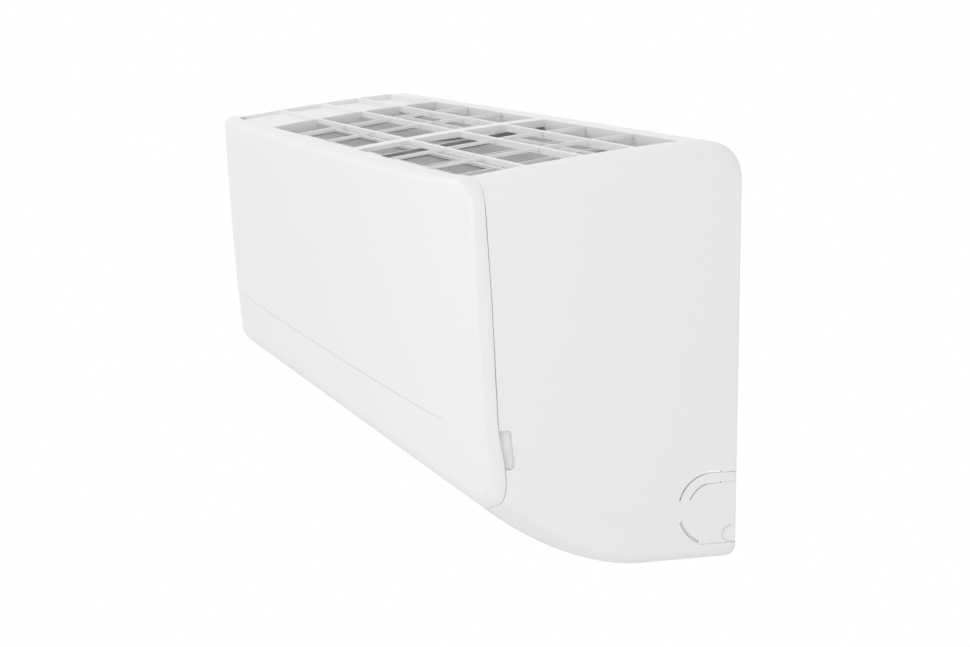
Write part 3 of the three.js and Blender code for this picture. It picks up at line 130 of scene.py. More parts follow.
# Front frame, outlet mouth, finger notches, knock-outs
BAY_LEFT = -198.0
BAY_RIGHT = 366.5
END_PLATE = 2.5
FIT = 0.3
RUNNING = 0.4
PAN_FRONT = 171.0
WINDOW_FOOT = 84.0
WINDOW_TOP = 244.0
WINDOW_INSET = 3.0
MOUTH = (-172.6, -103.6)
NOTCH_FOOT = 74.0
NOTCH_TOP = 101.6
NOTCH_REACH = 6.0
NOTCH_DEPTH = 4.6
NOTCH_CORNER = 3.0
NOTCH_BACKING = 2.0
KNOCKOUT_REACH = 44.0
KNOCKOUT_TOP = 62.5
KNOCKOUT_FOOT = 11.6
KNOCKOUT_BAND = 7.6
KNOCKOUT_SLIT = 1.4
KNOCKOUT_FOOT_SLIT = 2.0
KNOCKOUT_EDGE = 12.0
DRAIN_MARK = 6.3

# Panel hinge, screws and button
HINGE = (-183.0, 263.0)
HINGE_PIN = 2.0
ARM_AT = 368.0
ARM = 5.0
ARM_FOOT = (-209.5, 236.0)
ARM_SLOT = 5.0
LUG = 3.0
PIN_REACH = 2.4
SCREW_AT = (-150, 88, 330)
SCREW_HEIGHT = 57.0
CAP_RADIUS = 4.7
CUP_WALL = 1.6
CUP_DEPTH = 6.0
SCREW_HOLE = 2.3
BUTTON = (-250.0, 90.0)
BUTTON_RADIUS = 5.0
POST_AT = (-292, -222)
BOARD_FRONT = -175.2

# Camera fitted to the photograph
CAMERA_PLACE = (1710.457, -620.313, 389.557)
CAMERA_WAY = (-0.9386, 0.3095, -0.1527)
CAMERA_FOCUS = 2128.55                # in pixels of the photograph
PHOTO_WIDE = 970
SENSOR = 36.0


# ---------------------------------------------------------------- settings a user would change

class UnitSizes(bpy.types.PropertyGroup):
    """Sizes of the fine detail"""
    edge_round: bpy.props.FloatProperty(
        name="Edge rounding", description="Rounding of the moulded outer edges", default=0.6 * MM,
        min=0.1 * MM, max=1.5 * MM, subtype="DISTANCE", unit="LENGTH")
    rib_round: bpy.props.FloatProperty(
        name="Rib rounding", description="Rounding of the grille's ribs", default=0.35 * MM,
        min=0.1 * MM, max=1.0 * MM, subtype="DISTANCE", unit="LENGTH")
    fin_pitch: bpy.props.FloatProperty(
        name="Fin pitch", description="Distance from one fin to the next", default=2.2 * MM,
        min=1.2 * MM, max=4 * MM, subtype="DISTANCE", unit="LENGTH")
    fan_blades: bpy.props.IntProperty(
        name="Fan blades", description="Blades round the fan wheel", default=35, min=20, max=45)


class UnitColours(bpy.types.PropertyGroup):
    """Colours of the finishes"""
    white: bpy.props.FloatVectorProperty(
        name="Casing", description="Colour of casing and panel", default=(0.88, 0.882, 0.885),
        size=3, min=0, max=1, subtype="COLOR")
    inner: bpy.props.FloatVectorProperty(
        name="Inner mouldings", description="Colour of chassis, pan and vanes", default=(0.78, 0.785, 0.79),
        size=3, min=0, max=1, subtype="COLOR")
    net: bpy.props.FloatVectorProperty(
        name="Filter net", description="Colour of the filter's threads", default=(0.52, 0.53, 0.54),
        size=3, min=0, max=1, subtype="COLOR")
    copper: bpy.props.FloatVectorProperty(
        name="Copper", description="Colour of the coolant tubes", default=(0.72, 0.38, 0.25),
        size=3, min=0, max=1, subtype="COLOR")


# ---------------------------------------------------------------- outer form

def metres(x, y, z):
    return Vector((x * MM, y * MM, (z + UNDERSIDE) * MM))


def mix(a, b, t):
    return a + (b - a) * t


def ease(t):
    held = min(1.0, max(0.0, t))
    return held * held * (3 - 2 * held)


def crown(x):
    share = abs(x) / HALF
    return CROWN_MIDDLE * share ** 2 + CROWN_ENDS * share ** CROWN_POWER


def seam_turn(x):
    return SEAM_FORWARD * (1 - (abs(x) / HALF) ** CROWN_POWER)


def top_at(y):
    share = max(0.0, (-y - REAR_TOP_REACH) / (DEPTH - REAR_TOP_REACH))
    return HEIGHT - TOP_FALL * share ** TOP_FALL_POWER


def underside_at(y):
    share = max(0.0, (-y - UNDER_FLAT) / UNDER_RUN)
    if share <= 1:
        return UNDER_RISE * share ** UNDER_POWER
    return UNDER_RISE * (1 + UNDER_POWER * (share - 1))


def front_at(z, x):
    if z > CREASE:
        fall = max(0.0, FRONT_TOP - z) / (FRONT_TOP - CREASE)
        return crown(x) - DEPTH + FRONT_LEAN * fall ** FRONT_LEAN_POWER
    step = CREASE_STEP * ease((CREASE_END - abs(x)) / CREASE_FADE)
    return crown(x) - DEPTH + FRONT_LEAN + step + LOWER_LEAN * (CREASE - z)


def seam_side(z):
    """The seam on the side wall, as a smooth line through the seam's points"""
    last = len(SEAM_LINE) - 2
    i = min(last, max(0, sum(1 for at, _ in SEAM_LINE if at < z) - 1))
    (z0, y0), (z1, y1) = SEAM_LINE[i], SEAM_LINE[i + 1]

    def slope(k):
        a, b = SEAM_LINE[max(0, k - 1)], SEAM_LINE[min(last + 1, k + 1)]
        return (b[1] - a[1]) / (b[0] - a[0])

    t = (z - z0) / (z1 - z0)
    step = z1 - z0
    return ((2 * t ** 3 - 3 * t ** 2 + 1) * y0 + (t ** 3 - 2 * t ** 2 + t) * step * slope(i)
            + (3 * t ** 2 - 2 * t ** 3) * y1 + (t ** 3 - t ** 2) * step * slope(i + 1))


def seam_at(z, x):
    return seam_side(z) - seam_turn(x)


def fillet(before, corner, after, steps):
    points = []
    for i in range(steps + 1):
        t = i / steps
        a, b, c = (1 - t) ** 2, 2 * t * (1 - t), t ** 2
        points.append((a * before[0] + b * corner[0] + c * after[0], a * before[1] + b * corner[1] + c * after[1]))
    return points


def foot_round_at(y):
    return mix(FOOT_ROUND, FOOT_CHAMFER, ease((-y - CHAMFER_FROM) / (CHAMFER_TO - CHAMFER_FROM)))


def profile(x, angle, inset, rear, lift):
    """The side profile at x as (y, z, end radius), drawn inwards by the wall and by the rounding"""
    turn, sideways = 1 - math.cos(angle), math.sin(angle)

    def top(y):
        return top_at(y) + lift * ease((-y - UNDER_FLAT) / UNDER_FLAT) - inset - SHOULDER * turn

    def under(y):
        share = CHAMFER_SHARE * ease((-y - CHAMFER_FROM) / (CHAMFER_TO - CHAMFER_FROM))
        return underside_at(y) + inset + foot_round_at(y) * mix(turn, sideways, share)

    def front(z):
        return front_at(z, x) + inset + FRONT_ROUND * turn

    back = -rear - REAR_ROUND * turn
    foot, brow = (front(CREASE / 2), 0.0), (front(FRONT_TOP), 0.0)
    for _ in range(12):
        foot = (front(foot[1]), under(foot[0]))
        brow = (front(brow[1]), top(brow[0]))
    points = []

    def put(pairs, radius_of):
        count = max(1, len(pairs) - 1)
        points.extend((y, z, radius_of(i / count)) for i, (y, z) in enumerate(pairs))

    foot_from = foot[0] + FRONT_FOOT_REACH
    foot_to = foot[1] + FRONT_FOOT_REACH
    put(fillet((foot_from, under(foot_from)), foot, (front(foot_to), foot_to), 8),
        lambda t: mix(foot_round_at(foot[0]), FRONT_ROUND, t))
    low, high = CREASE - CREASE_HALF, CREASE + CREASE_HALF
    band = [mix(foot_to, low, t) for t in (0.33, 0.66)] + [low - 1.5, low, high, high + 1.5]
    put([(front(z), z) for z in band], lambda t: FRONT_ROUND)
    brow_from = brow[1] - FRONT_TOP_REACH
    rises = [i / 9 for i in range(1, 9)]
    put([(front(mix(high, brow_from, t)), mix(high, brow_from, t)) for t in rises],
        lambda t: mix(FRONT_ROUND, SHOULDER / 2, t ** 3))
    brow_to = brow[0] + FRONT_TOP_REACH
    put(fillet((front(brow_from), brow_from), brow, (brow_to, top(brow_to)), 7),
        lambda t: mix(SHOULDER * 0.75, SHOULDER, t))
    runs = [mix(brow_to, -REAR_TOP_REACH, i / 13) for i in range(1, 13)]
    put([(y, top(y)) for y in runs], lambda t: SHOULDER)
    corner = (back, HEIGHT - inset - SHOULDER * turn)
    put(fillet((-REAR_TOP_REACH, top(-REAR_TOP_REACH)), corner, (back, corner[1] - REAR_TOP_REACH), 10),
        lambda t: mix(SHOULDER, REAR_ROUND, t))
    heel = (back, under(back))
    put(fillet((back, heel[1] + REAR_FOOT_REACH), heel, (back - REAR_FOOT_REACH, heel[1]), 5),
        lambda t: mix(REAR_ROUND, FOOT_ROUND, t))
    floor = [mix(-UNDER_FLAT, foot_from, i / 12) for i in range(12)]
    points.extend((y, under(y), foot_round_at(y)) for y in floor)
    return points


# ---------------------------------------------------------------- modelling steps

def deselect():
    bpy.ops.object.select_all(action="DESELECT")


def active(obj):
    deselect()
    obj.select_set(True)
    bpy.context.view_layer.objects.active = obj
    return obj


def edit(obj):
    active(obj)
    bpy.ops.object.mode_set(mode="EDIT")
    bpy.ops.mesh.select_all(action="SELECT")


def done():
    bpy.ops.object.mode_set(mode="OBJECT")
    return bpy.context.active_object


def apply_place(obj):
    active(obj)
    bpy.ops.object.transform_apply(location=True, rotation=True, scale=True)
    return obj


def apply_modifiers(obj):
    active(obj)
    for name in [m.name for m in obj.modifiers]:
        bpy.ops.object.modifier_apply(modifier=name)
    return obj


def skin(name, rings):
    """A grid bent into a tube through the rings, its ends filled"""
    count, length = len(rings[0]), len(rings)
    deselect()
    bpy.ops.mesh.primitive_grid_add(x_subdivisions=count, y_subdivisions=length - 1, size=2)
    obj = bpy.context.active_object
    obj.name = name
    for vertex in obj.data.vertices:
        i = round((vertex.co.x + 1) / 2 * count)
        j = round((vertex.co.y + 1) / 2 * (length - 1))
        vertex.co = metres(*rings[j][i % count])
    edit(obj)
    bpy.ops.mesh.remove_doubles(threshold=0.001 * MM)
    bpy.ops.mesh.fill_holes(sides=0)
    bpy.ops.mesh.select_all(action="SELECT")
    bpy.ops.mesh.normals_make_consistent(inside=False)
    return done()


def form(name, inset=0.0, rear=None, lift=0.0):
    """The outer form of casing and panel, or the same drawn inwards"""
    rear = inset if rear is None else rear
    end = HALF - inset
    radii = [p[2] for p in profile(0, 0, inset, rear, lift)]
    stations = []
    for degrees in (90, 78, 66, 54, 42, 31, 20, 10, 0):
        angle = math.radians(degrees)
        stations.append((lambda r, s=math.sin(angle): end - r * (1 - s), angle))
    inner = [358, 345, 330, 312, 288, 255, 210, 150, 80, 0]
    stations.append((lambda r: (end - r + inner[0]) / 2, 0))
    stations.extend((lambda r, x=x: x, 0) for x in inner)

    def ring(station, side):
        points = []
        for i, radius in enumerate(radii):
            x = side * station[0](radius)
            y, z, _ = profile(x, station[1], inset, rear, lift)[i]
            points.append((x, y, z))
        return points

    right = [ring(s, 1) for s in stations]
    left = [ring(s, -1) for s in reversed(stations[:-1])]
    return skin(name, right + left)


def ahead(offset):
    """Everything ahead of the seam, moved back by an offset"""
    far = -DEPTH - 30
    stops = [HALF + 3, 386, 382, 377, 371, 364, 355, 344, 330, 312, 288, 255, 205, 130, 60, 0]
    low, high = SEAM_LINE[0][0], SEAM_LINE[-1][0]
    heights = [mix(low, 110, i / 16) for i in range(17)] + [mix(110, high, i / 8) for i in range(1, 9)]

    def ring(x):
        held = min(abs(x), HALF)
        edge = [(x, seam_at(z, held) + offset, z) for z in heights]
        return edge + [(x, far, high), (x, far, low - 20), (x, edge[0][1], low - 20)]

    right = [ring(x) for x in stops]
    left = [ring(-x) for x in reversed(stops[:-1])]
    return skin("ahead_of_seam", right + left)


def block(x, y, z):
    """A box between pairs of limits"""
    deselect()
    low, high = metres(x[0], y[0], z[0]), metres(x[1], y[1], z[1])
    bpy.ops.mesh.primitive_cube_add(size=1, location=(low + high) / 2, scale=high - low)
    return apply_place(bpy.context.active_object)


def prism(outline, x0, x1):
    """An outline of (y, z) points run along X"""
    deselect()
    bpy.ops.mesh.primitive_circle_add(vertices=len(outline), radius=1, fill_type="NGON")
    obj = bpy.context.active_object
    for vertex, (y, z) in zip(obj.data.vertices, outline):
        vertex.co = metres(x0, y, z)
    edit(obj)
    bpy.ops.mesh.extrude_region_move(TRANSFORM_OT_translate={"value": ((x1 - x0) * MM, 0, 0)})
    bpy.ops.mesh.select_all(action="SELECT")
    bpy.ops.mesh.normals_make_consistent(inside=False)
    return done()


def rod(radius, start, end, sides=32, end_radius=None):
    """A round rod between two points"""
    a, b = metres(*start), metres(*end)
    deselect()
    bpy.ops.mesh.primitive_cone_add(
        vertices=sides, radius1=radius * MM, radius2=(end_radius or radius) * MM, depth=(b - a).length,
        location=(a + b) / 2, rotation=(b - a).to_track_quat("Z", "Y").to_euler())
    return apply_place(bpy.context.active_object)


def joined(pieces, name):
    """Separate closed pieces gathered in one object"""
    deselect()
    for piece in pieces:
        piece.select_set(True)
    bpy.context.view_layer.objects.active = pieces[0]
    if len(pieces) > 1:
        bpy.ops.object.join()
    pieces[0].name = name
    return pieces[0]


def mirrored(obj):
    """A copy on the other side of the middle"""
    twin = active(copy_of(obj, obj.name + "_twin"))
    twin.scale.x = -1
    apply_place(twin)
    edit(twin)
    bpy.ops.mesh.normals_make_consistent(inside=False)
    return done()


def copy_of(obj, name):
    """A copy with its own mesh, started from a fresh object"""
    deselect()
    bpy.ops.mesh.primitive_cube_add(size=1)
    twin = bpy.context.active_object
    twin.name = name
    twin.data = obj.data.copy()
    twin.data.name = name
    return twin


def shape(body, operation, tools):
    """Cuts, adds or intersects, tool by tool"""
    for tool in tools:
        active(body)
        bpy.ops.object.modifier_add(type="BOOLEAN")
        modifier = body.modifiers[-1]
        modifier.operation = operation
        modifier.solver = "MANIFOLD"
        modifier.object = tool
        bpy.ops.object.modifier_apply(modifier=modifier.name)
        bpy.data.objects.remove(tool)
        if not body.data.polygons:
            raise RuntimeError(f"{body.name} vanished in a boolean step")
    return body


def soften(obj, width, segments=2, angle=38.0, clean=True):
    """Merges, rounds the sharp edges and shades smooth"""
    edit(obj)
    bpy.ops.mesh.remove_doubles(threshold=0.002 * MM)
    if clean:
        bpy.ops.mesh.dissolve_limited(angle_limit=math.radians(0.6))
    done()
    if width > 0:
        active(obj)
        bpy.ops.object.modifier_add(type="BEVEL")
        bevel = obj.modifiers[-1]
        bevel.width = width
        bevel.segments = segments
        bevel.limit_method = "ANGLE"
        bevel.angle_limit = math.radians(angle)
        bevel.use_clamp_overlap = True
        bpy.ops.object.modifier_apply(modifier=bevel.name)
    active(obj)
    bpy.ops.object.shade_smooth_by_angle(angle=math.radians(angle))
    if clean:
        bpy.ops.object.modifier_add(type="WEIGHTED_NORMAL")
        weighted = obj.modifiers[-1]
        weighted.keep_sharp = True
        bpy.ops.object.modifier_apply(modifier=weighted.name)
    return obj


def dress(obj, material, body, slot, *nodes):
    """Gives a finished piece its material, body and the nodes that it stands for"""
    obj.data.materials.clear()
    obj.data.materials.append(material)
    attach(obj, body)
    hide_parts(*nodes)
    return obj


def from_frame(node, name, width, material, slot, segments=2, angle=38.0):
    """A CAD node's shape with its edges rounded"""
    obj = copy_of(frame["nodes"][node], name)
    soften(obj, width * MM, segments, angle)
    return dress(obj, material, body_of(node), slot, node)


def body_of(node):
    groups = frame["record"]["behaviour"]["bodies"]
    return next(body for body, nodes in groups.items() if node in nodes)


# ---------------------------------------------------------------- finishes

def grain_group():
    """Fine moulded grain: a height for the bump and a roughness that wanders a little"""
    name = "moulded grain"
    if name in bpy.data.node_groups:
        return bpy.data.node_groups[name]
    group = bpy.data.node_groups.new(name, "ShaderNodeTree")
    face = group.interface
    face.new_socket(name="Vector", in_out="INPUT", socket_type="NodeSocketVector")
    face.new_socket(name="Scale", in_out="INPUT", socket_type="NodeSocketFloat")
    face.new_socket(name="Roughness", in_out="INPUT", socket_type="NodeSocketFloat")
    face.new_socket(name="Spread", in_out="INPUT", socket_type="NodeSocketFloat")
    face.new_socket(name="Height", in_out="OUTPUT", socket_type="NodeSocketFloat")
    face.new_socket(name="Roughness", in_out="OUTPUT", socket_type="NodeSocketFloat")
    nodes, links = group.nodes, group.links
    start, end = nodes.new("NodeGroupInput"), nodes.new("NodeGroupOutput")
    fine = nodes.new("ShaderNodeTexNoise")
    fine.inputs["Detail"].default_value = 2
    slow = nodes.new("ShaderNodeTexNoise")
    slow.inputs["Scale"].default_value = 9
    span = nodes.new("ShaderNodeMath")
    span.operation = "MULTIPLY_ADD"
    links.new(start.outputs["Vector"], fine.inputs["Vector"])
    links.new(start.outputs["Scale"], fine.inputs["Scale"])
    links.new(start.outputs["Vector"], slow.inputs["Vector"])
    links.new(slow.outputs["Fac"], span.inputs[0])
    links.new(start.outputs["Spread"], span.inputs[1])
    links.new(start.outputs["Roughness"], span.inputs[2])
    links.new(fine.outputs["Fac"], end.inputs["Height"])
    links.new(span.outputs[0], end.inputs["Roughness"])
    return group


def finish_of(name, colour, roughness, metallic=0.0, grain=900.0, spread=0.05, bump=0.02, stretch=(1, 1, 1)):
    """A plain finish with grain; stretch draws the grain out along an axis, as on drawn metal"""
    if name in bpy.data.materials:
        return bpy.data.materials[name]
    material = bpy.data.materials.new(name)
    material.use_nodes = True
    nodes, links = material.node_tree.nodes, material.node_tree.links
    shader = nodes["Principled BSDF"]
    shader.inputs["Base Color"].default_value = (*colour, 1)
    shader.inputs["Metallic"].default_value = metallic
    place = nodes.new("ShaderNodeTexCoord")
    mapping = nodes.new("ShaderNodeMapping")
    mapping.inputs["Scale"].default_value = stretch
    group = nodes.new("ShaderNodeGroup")
    group.node_tree = grain_group()
    group.inputs["Scale"].default_value = grain
    group.inputs["Roughness"].default_value = roughness
    group.inputs["Spread"].default_value = spread
    relief = nodes.new("ShaderNodeBump")
    relief.inputs["Strength"].default_value = bump
    relief.inputs["Distance"].default_value = 0.1 * MM
    links.new(place.outputs["Object"], mapping.inputs["Vector"])
    links.new(mapping.outputs["Vector"], group.inputs["Vector"])
    links.new(group.outputs["Roughness"], shader.inputs["Roughness"])
    links.new(group.outputs["Height"], relief.inputs["Height"])
    links.new(relief.outputs["Normal"], shader.inputs["Normal"])
    return material


def colours():
    return bpy.context.scene.unit_colours


def white():
    return finish_of("white casing plastic", colours().white, 0.36, bump=0.03)


def inner():
    return finish_of("inner moulding plastic", colours().inner, 0.5)


def grey():
    return finish_of("grey plastic", (0.30, 0.31, 0.32), 0.45)


def dark():
    return finish_of("dark plastic", (0.03, 0.03, 0.033), 0.5)


def zinc():
    return finish_of("zinc-coated sheet", (0.55, 0.57, 0.59), 0.38, 1.0, grain=120, spread=0.18, bump=0.05)


def aluminium():
    return finish_of("bare aluminium fins", (0.72, 0.74, 0.76), 0.34, 1.0, grain=400)


def copper():
    return finish_of("drawn copper", colours().copper, 0.26, 1.0, grain=300, spread=0.12)


def brass():
    return finish_of("turned brass", (0.72, 0.52, 0.24), 0.28, 1.0, grain=300, stretch=(6, 1, 1))


def steel():
    return finish_of("machined steel", (0.62, 0.63, 0.64), 0.3, 1.0, grain=300, stretch=(1, 5, 5))


def rubber():
    return finish_of("black rubber", (0.02, 0.02, 0.021), 0.75, bump=0.08)


def laminate():
    return finish_of("circuit board laminate", (0.02, 0.13, 0.06), 0.4)


def net():
    """Woven threads: opaque where a thread runs, open between"""
    name = "woven filter net"
    if name in bpy.data.materials:
        return bpy.data.materials[name]
    material = finish_of(name, colours().net, 0.6)
    nodes, links = material.node_tree.nodes, material.node_tree.links
    place = nodes.new("ShaderNodeTexCoord")
    split = nodes.new("ShaderNodeSeparateXYZ")
    links.new(place.outputs["Object"], split.inputs[0])
    along = nodes.new("ShaderNodeMath")
    along.operation = "SUBTRACT"
    links.new(split.outputs["Z"], along.inputs[0])
    links.new(split.outputs["Y"], along.inputs[1])
    threads = []
    for source in (split.outputs["X"], along.outputs[0]):
        wave = nodes.new("ShaderNodeMath")
        wave.operation = "PINGPONG"
        wave.inputs[1].default_value = NET_PITCH / 2 * MM
        links.new(source, wave.inputs[0])
        thread = nodes.new("ShaderNodeMath")
        thread.operation = "LESS_THAN"
        thread.inputs[1].default_value = NET_THREAD / 2 * MM
        links.new(wave.outputs[0], thread.inputs[0])
        threads.append(thread)
    either = nodes.new("ShaderNodeMath")
    either.operation = "MAXIMUM"
    links.new(threads[0].outputs[0], either.inputs[0])
    links.new(threads[1].outputs[0], either.inputs[1])
    links.new(either.outputs[0], nodes["Principled BSDF"].inputs["Alpha"])
    return material


NET_PITCH = 1.6
NET_THREAD = 0.66


# ---------------------------------------------------------------- casing

def grille_spans():
    spans = []
    for left, *edges in GRILLE_GROUPS:
        for i, edge in enumerate(edges):
            spans.append((edges[i - 1] + GRILLE_RIB if i else left, edge))
    return spans


def grille_rows():
    edges = [GRILLE_FRONT]
    for rear in GRILLE_RIBS:
        edges.extend((rear + GRILLE_RIB, rear))
    edges.append(GRILLE_BACK)
    return [(-edges[i], -edges[i + 1]) for i in (0, 2, 4, 6)]


def rib_zone(x0, x1, share, extra=0.0):
    """The zone above a share of the ribs' depth plus extra"""
    front, back = -GRILLE_FRONT - 5, -GRILLE_BACK + 8
    steps = [mix(front, back, i / 8) for i in range(9)]
    foot = [(y, top_at(y) - share * mix(RIB_DEEP_FRONT, RIB_DEEP_BACK, i / 8) - extra) for i, y in enumerate(steps)]
    return prism(foot + [(back, HEIGHT + 10), (front, HEIGHT + 10)], x0, x1)


def grille_cells():
    """What the grille leaves open: whole cells, room below the short ribs, the blind cells' pockets"""
    cells, under, blind = [], [], []
    for row in grille_rows():
        rise = (top_at(row[0]) - 30, HEIGHT + 10)
        cells.extend(block(span, row, rise) for span in grille_spans())
        for group in GRILLE_GROUPS:
            room = block((group[0], group[-1]), row, rise)
            under.append(shape(room, "DIFFERENCE", [rib_zone(group[0] - 1, group[-1] + 1, CROSS_SHARE)]))
        pocket = block((GRILLE_LEFT, BLIND_END), row, rise)
        blind.append(shape(pocket, "INTERSECT", [rib_zone(GRILLE_LEFT - 1, BLIND_END + 1, BLIND_SHARE)]))
    return [joined(cells, "cells"), joined(under, "room_under_short_ribs"), joined(blind, "blind_pockets")]


def knockout_slits(inward, slit):
    """A slit along the knock-out's rounded outline, set inwards"""
    middle = (KNOCKOUT_TOP + KNOCKOUT_FOOT) / 2
    half = (KNOCKOUT_TOP - KNOCKOUT_FOOT) / 2 - inward
    bow = KNOCKOUT_REACH - inward - half

    def outline(swell):
        arc = [(-bow + (half + swell) * math.cos(math.pi / 2 + math.pi * i / 40),
                middle + (half + swell) * math.sin(math.pi / 2 + math.pi * i / 40)) for i in range(41)]
        return [(-KNOCKOUT_EDGE, arc[0][1])] + arc

    band = outline(slit / 2) + outline(-slit / 2)[::-1]
    return prism(band, HALF - 4, HALF + 1)


def circle_outline(y, z, radius, sides=40):
    return [(y + radius * math.cos(2 * math.pi * i / sides), z + radius * math.sin(2 * math.pi * i / sides))
            for i in range(sides)]


def side_marks():
    """Knock-out slits and the drain mark, on the right side wall"""
    deep = (HALF - 5, HALF + 2)
    outer = shape(knockout_slits(0, KNOCKOUT_SLIT), "DIFFERENCE", [block(deep, (-60, 0), (0, 43.5))])
    lower = shape(knockout_slits(0, KNOCKOUT_FOOT_SLIT), "DIFFERENCE",
                  [block(deep, (-60, 0), (29.6, 80)), block(deep, (-28.5, 0), (0, 30))])
    inside = shape(knockout_slits(KNOCKOUT_BAND, KNOCKOUT_SLIT * 0.8), "DIFFERENCE",
                   [block(deep, (-60, 0), (0, 43.5))])
    lines = [block((HALF - 0.6, HALF + 1), (-KNOCKOUT_EDGE, 1), (z - 0.35, z + 0.35))
             for z in (KNOCKOUT_TOP - 0.6, KNOCKOUT_TOP - KNOCKOUT_BAND)]
    foot = block((HALF - 0.6, HALF + 1), (-28.5, 1), (KNOCKOUT_FOOT - 0.3, KNOCKOUT_FOOT + 0.3))
    y, z = -5, KNOCKOUT_FOOT + DRAIN_MARK
    mark = shape(prism(circle_outline(y, z, DRAIN_MARK), HALF - 1.0, HALF + 1), "DIFFERENCE",
                 [prism(circle_outline(y, z, DRAIN_MARK - KNOCKOUT_SLIT), HALF - 2, HALF + 2),
                  block((HALF - 2, HALF + 2), (y + 1, 5), (0, 40))])
    return [outer, lower, inside, *lines, foot, mark]


def notch_outline(grow, back):
    foot, top = NOTCH_FOOT - grow, NOTCH_TOP + grow
    front = seam_at(NOTCH_FOOT, HALF) - 10
    back_foot = seam_at(NOTCH_FOOT, HALF) + back
    back_top = seam_at(NOTCH_TOP, HALF) + back + 2.4
    rise = NOTCH_CORNER * 1.6
    lower = fillet((back_foot - NOTCH_CORNER, foot), (back_foot, foot), (back_foot, foot + rise), 6)
    upper = fillet((back_top, top - rise), (back_top, top), (back_top - NOTCH_CORNER, top), 6)
    return [(front, foot), *lower, *upper, (front, top)]


def notch(grow, back, x0, x1):
    return prism(notch_outline(grow, back), x0, x1)


def frame_front(z, x):
    return seam_at(z, x) + SEAM_GAP / 2


def hinge_lugs():
    lugs = []
    roof = top_at(HINGE[0] - 6) - 1
    outline = [(HINGE[0] - 5, HINGE[1] - 5), (HINGE[0] + 5, HINGE[1] - 5), (HINGE[0] + 5, roof), (HINGE[0] - 5, roof)]
    for side in (-1, 1):
        for face in (-1, 1):
            near = side * ARM_AT + face * ARM_SLOT
            far = near + face * LUG
            lugs.append(prism(outline, min(near, far), max(near, far)))
    return lugs


def filter_spans():
    return [(BAY_LEFT + 2, GRILLE_GROUPS[0][-1] + 3), (GRILLE_GROUPS[1][0] + 8, BAY_RIGHT - 9)]


def casing_additions(behind):
    """Lattice and closed cells of the grille, notch backings, screw cups, posts and hinge lugs"""
    lattice = shape(copy_of(behind, "lattice"), "INTERSECT",
                    [rib_zone(GRILLE_LEFT - 4, GRILLE_GROUPS[-1][-1] + 4, 1)])
    floor = shape(copy_of(behind, "blind_floor"), "INTERSECT",
                  [rib_zone(GRILLE_LEFT - 4, BLIND_END + GRILLE_RIB, BLIND_SHARE, BLIND_FLOOR)])
    drop = shape(copy_of(behind, "bay_wall"), "INTERSECT",
                 [rib_zone(BLIND_END, BLIND_END + GRILLE_RIB, 1, BAY_WALL_DROP)])
    rear = shape(copy_of(behind, "rear_rib"), "INTERSECT",
                 [rib_zone(GRILLE_LEFT, GRILLE_GROUPS[-1][-1], 1, REAR_RIB_DROP),
                  block((GRILLE_LEFT, GRILLE_GROUPS[-1][-1]), (-GRILLE_BACK, GRILLE_RIB - GRILLE_BACK), (0, HEIGHT))])
    pad = shape(notch(NOTCH_BACKING, NOTCH_REACH + NOTCH_BACKING, HALF - NOTCH_DEPTH - NOTCH_BACKING, HALF - 1),
                "DIFFERENCE", [ahead(SEAM_GAP / 2)])
    fronts = [frame_front(SCREW_HEIGHT, x) for x in SCREW_AT]
    cups = [rod(CAP_RADIUS + FIT + CUP_WALL, (x, y + 1.2, SCREW_HEIGHT), (x, y + CUP_DEPTH, SCREW_HEIGHT))
            for x, y in zip(SCREW_AT, fronts)]
    posts = [rod(2.5, (x, frame_front(BUTTON[1], x) + 1, BUTTON[1]), (x, BOARD_FRONT - FIT, BUTTON[1]))
             for x in POST_AT]
    return [lattice, floor, drop, rear, mirrored(pad), pad, *cups, *posts, *hinge_lugs()]


def casing_openings():
    """Filter windows, outlet mouth, hinge slots and holes, finger notches, screw recesses, button hole"""
    tools = [block((a + WINDOW_INSET, b - WINDOW_INSET), (-DEPTH, -PAN_FRONT - 1), (WINDOW_FOOT, WINDOW_TOP))
             for a, b in filter_spans()]
    tools.append(block((BAY_LEFT + END_PLATE + FIT, BAY_RIGHT - END_PLATE - FIT), MOUTH, (-5, 46)))
    for side in (-1, 1):
        at = side * ARM_AT
        tools.append(block((at - ARM_SLOT, at + ARM_SLOT), (-DEPTH, HINGE[0] + 4.4), (HINGE[1] - 17, HINGE[1] + 5)))
        tools.append(rod(HINGE_PIN + RUNNING, (at - ARM_SLOT - 9, *HINGE), (at + ARM_SLOT + 9, *HINGE), 24))
    pocket = notch(0, NOTCH_REACH, HALF - NOTCH_DEPTH, HALF + 2)
    tools.extend((mirrored(pocket), pocket))
    for x in SCREW_AT:
        front = frame_front(SCREW_HEIGHT, x)
        seat = front + CUP_DEPTH - CUP_WALL
        tools.append(rod(CAP_RADIUS + FIT, (x, front - 4, SCREW_HEIGHT), (x, seat, SCREW_HEIGHT)))
        tools.append(rod(SCREW_HOLE, (x, seat - 1, SCREW_HEIGHT), (x, front + CUP_DEPTH + 1, SCREW_HEIGHT), 24))
    tools.append(rod(BUTTON_RADIUS + RUNNING, (BUTTON[0], -DEPTH, BUTTON[1]), (BUTTON[0], -170, BUTTON[1])))
    return tools


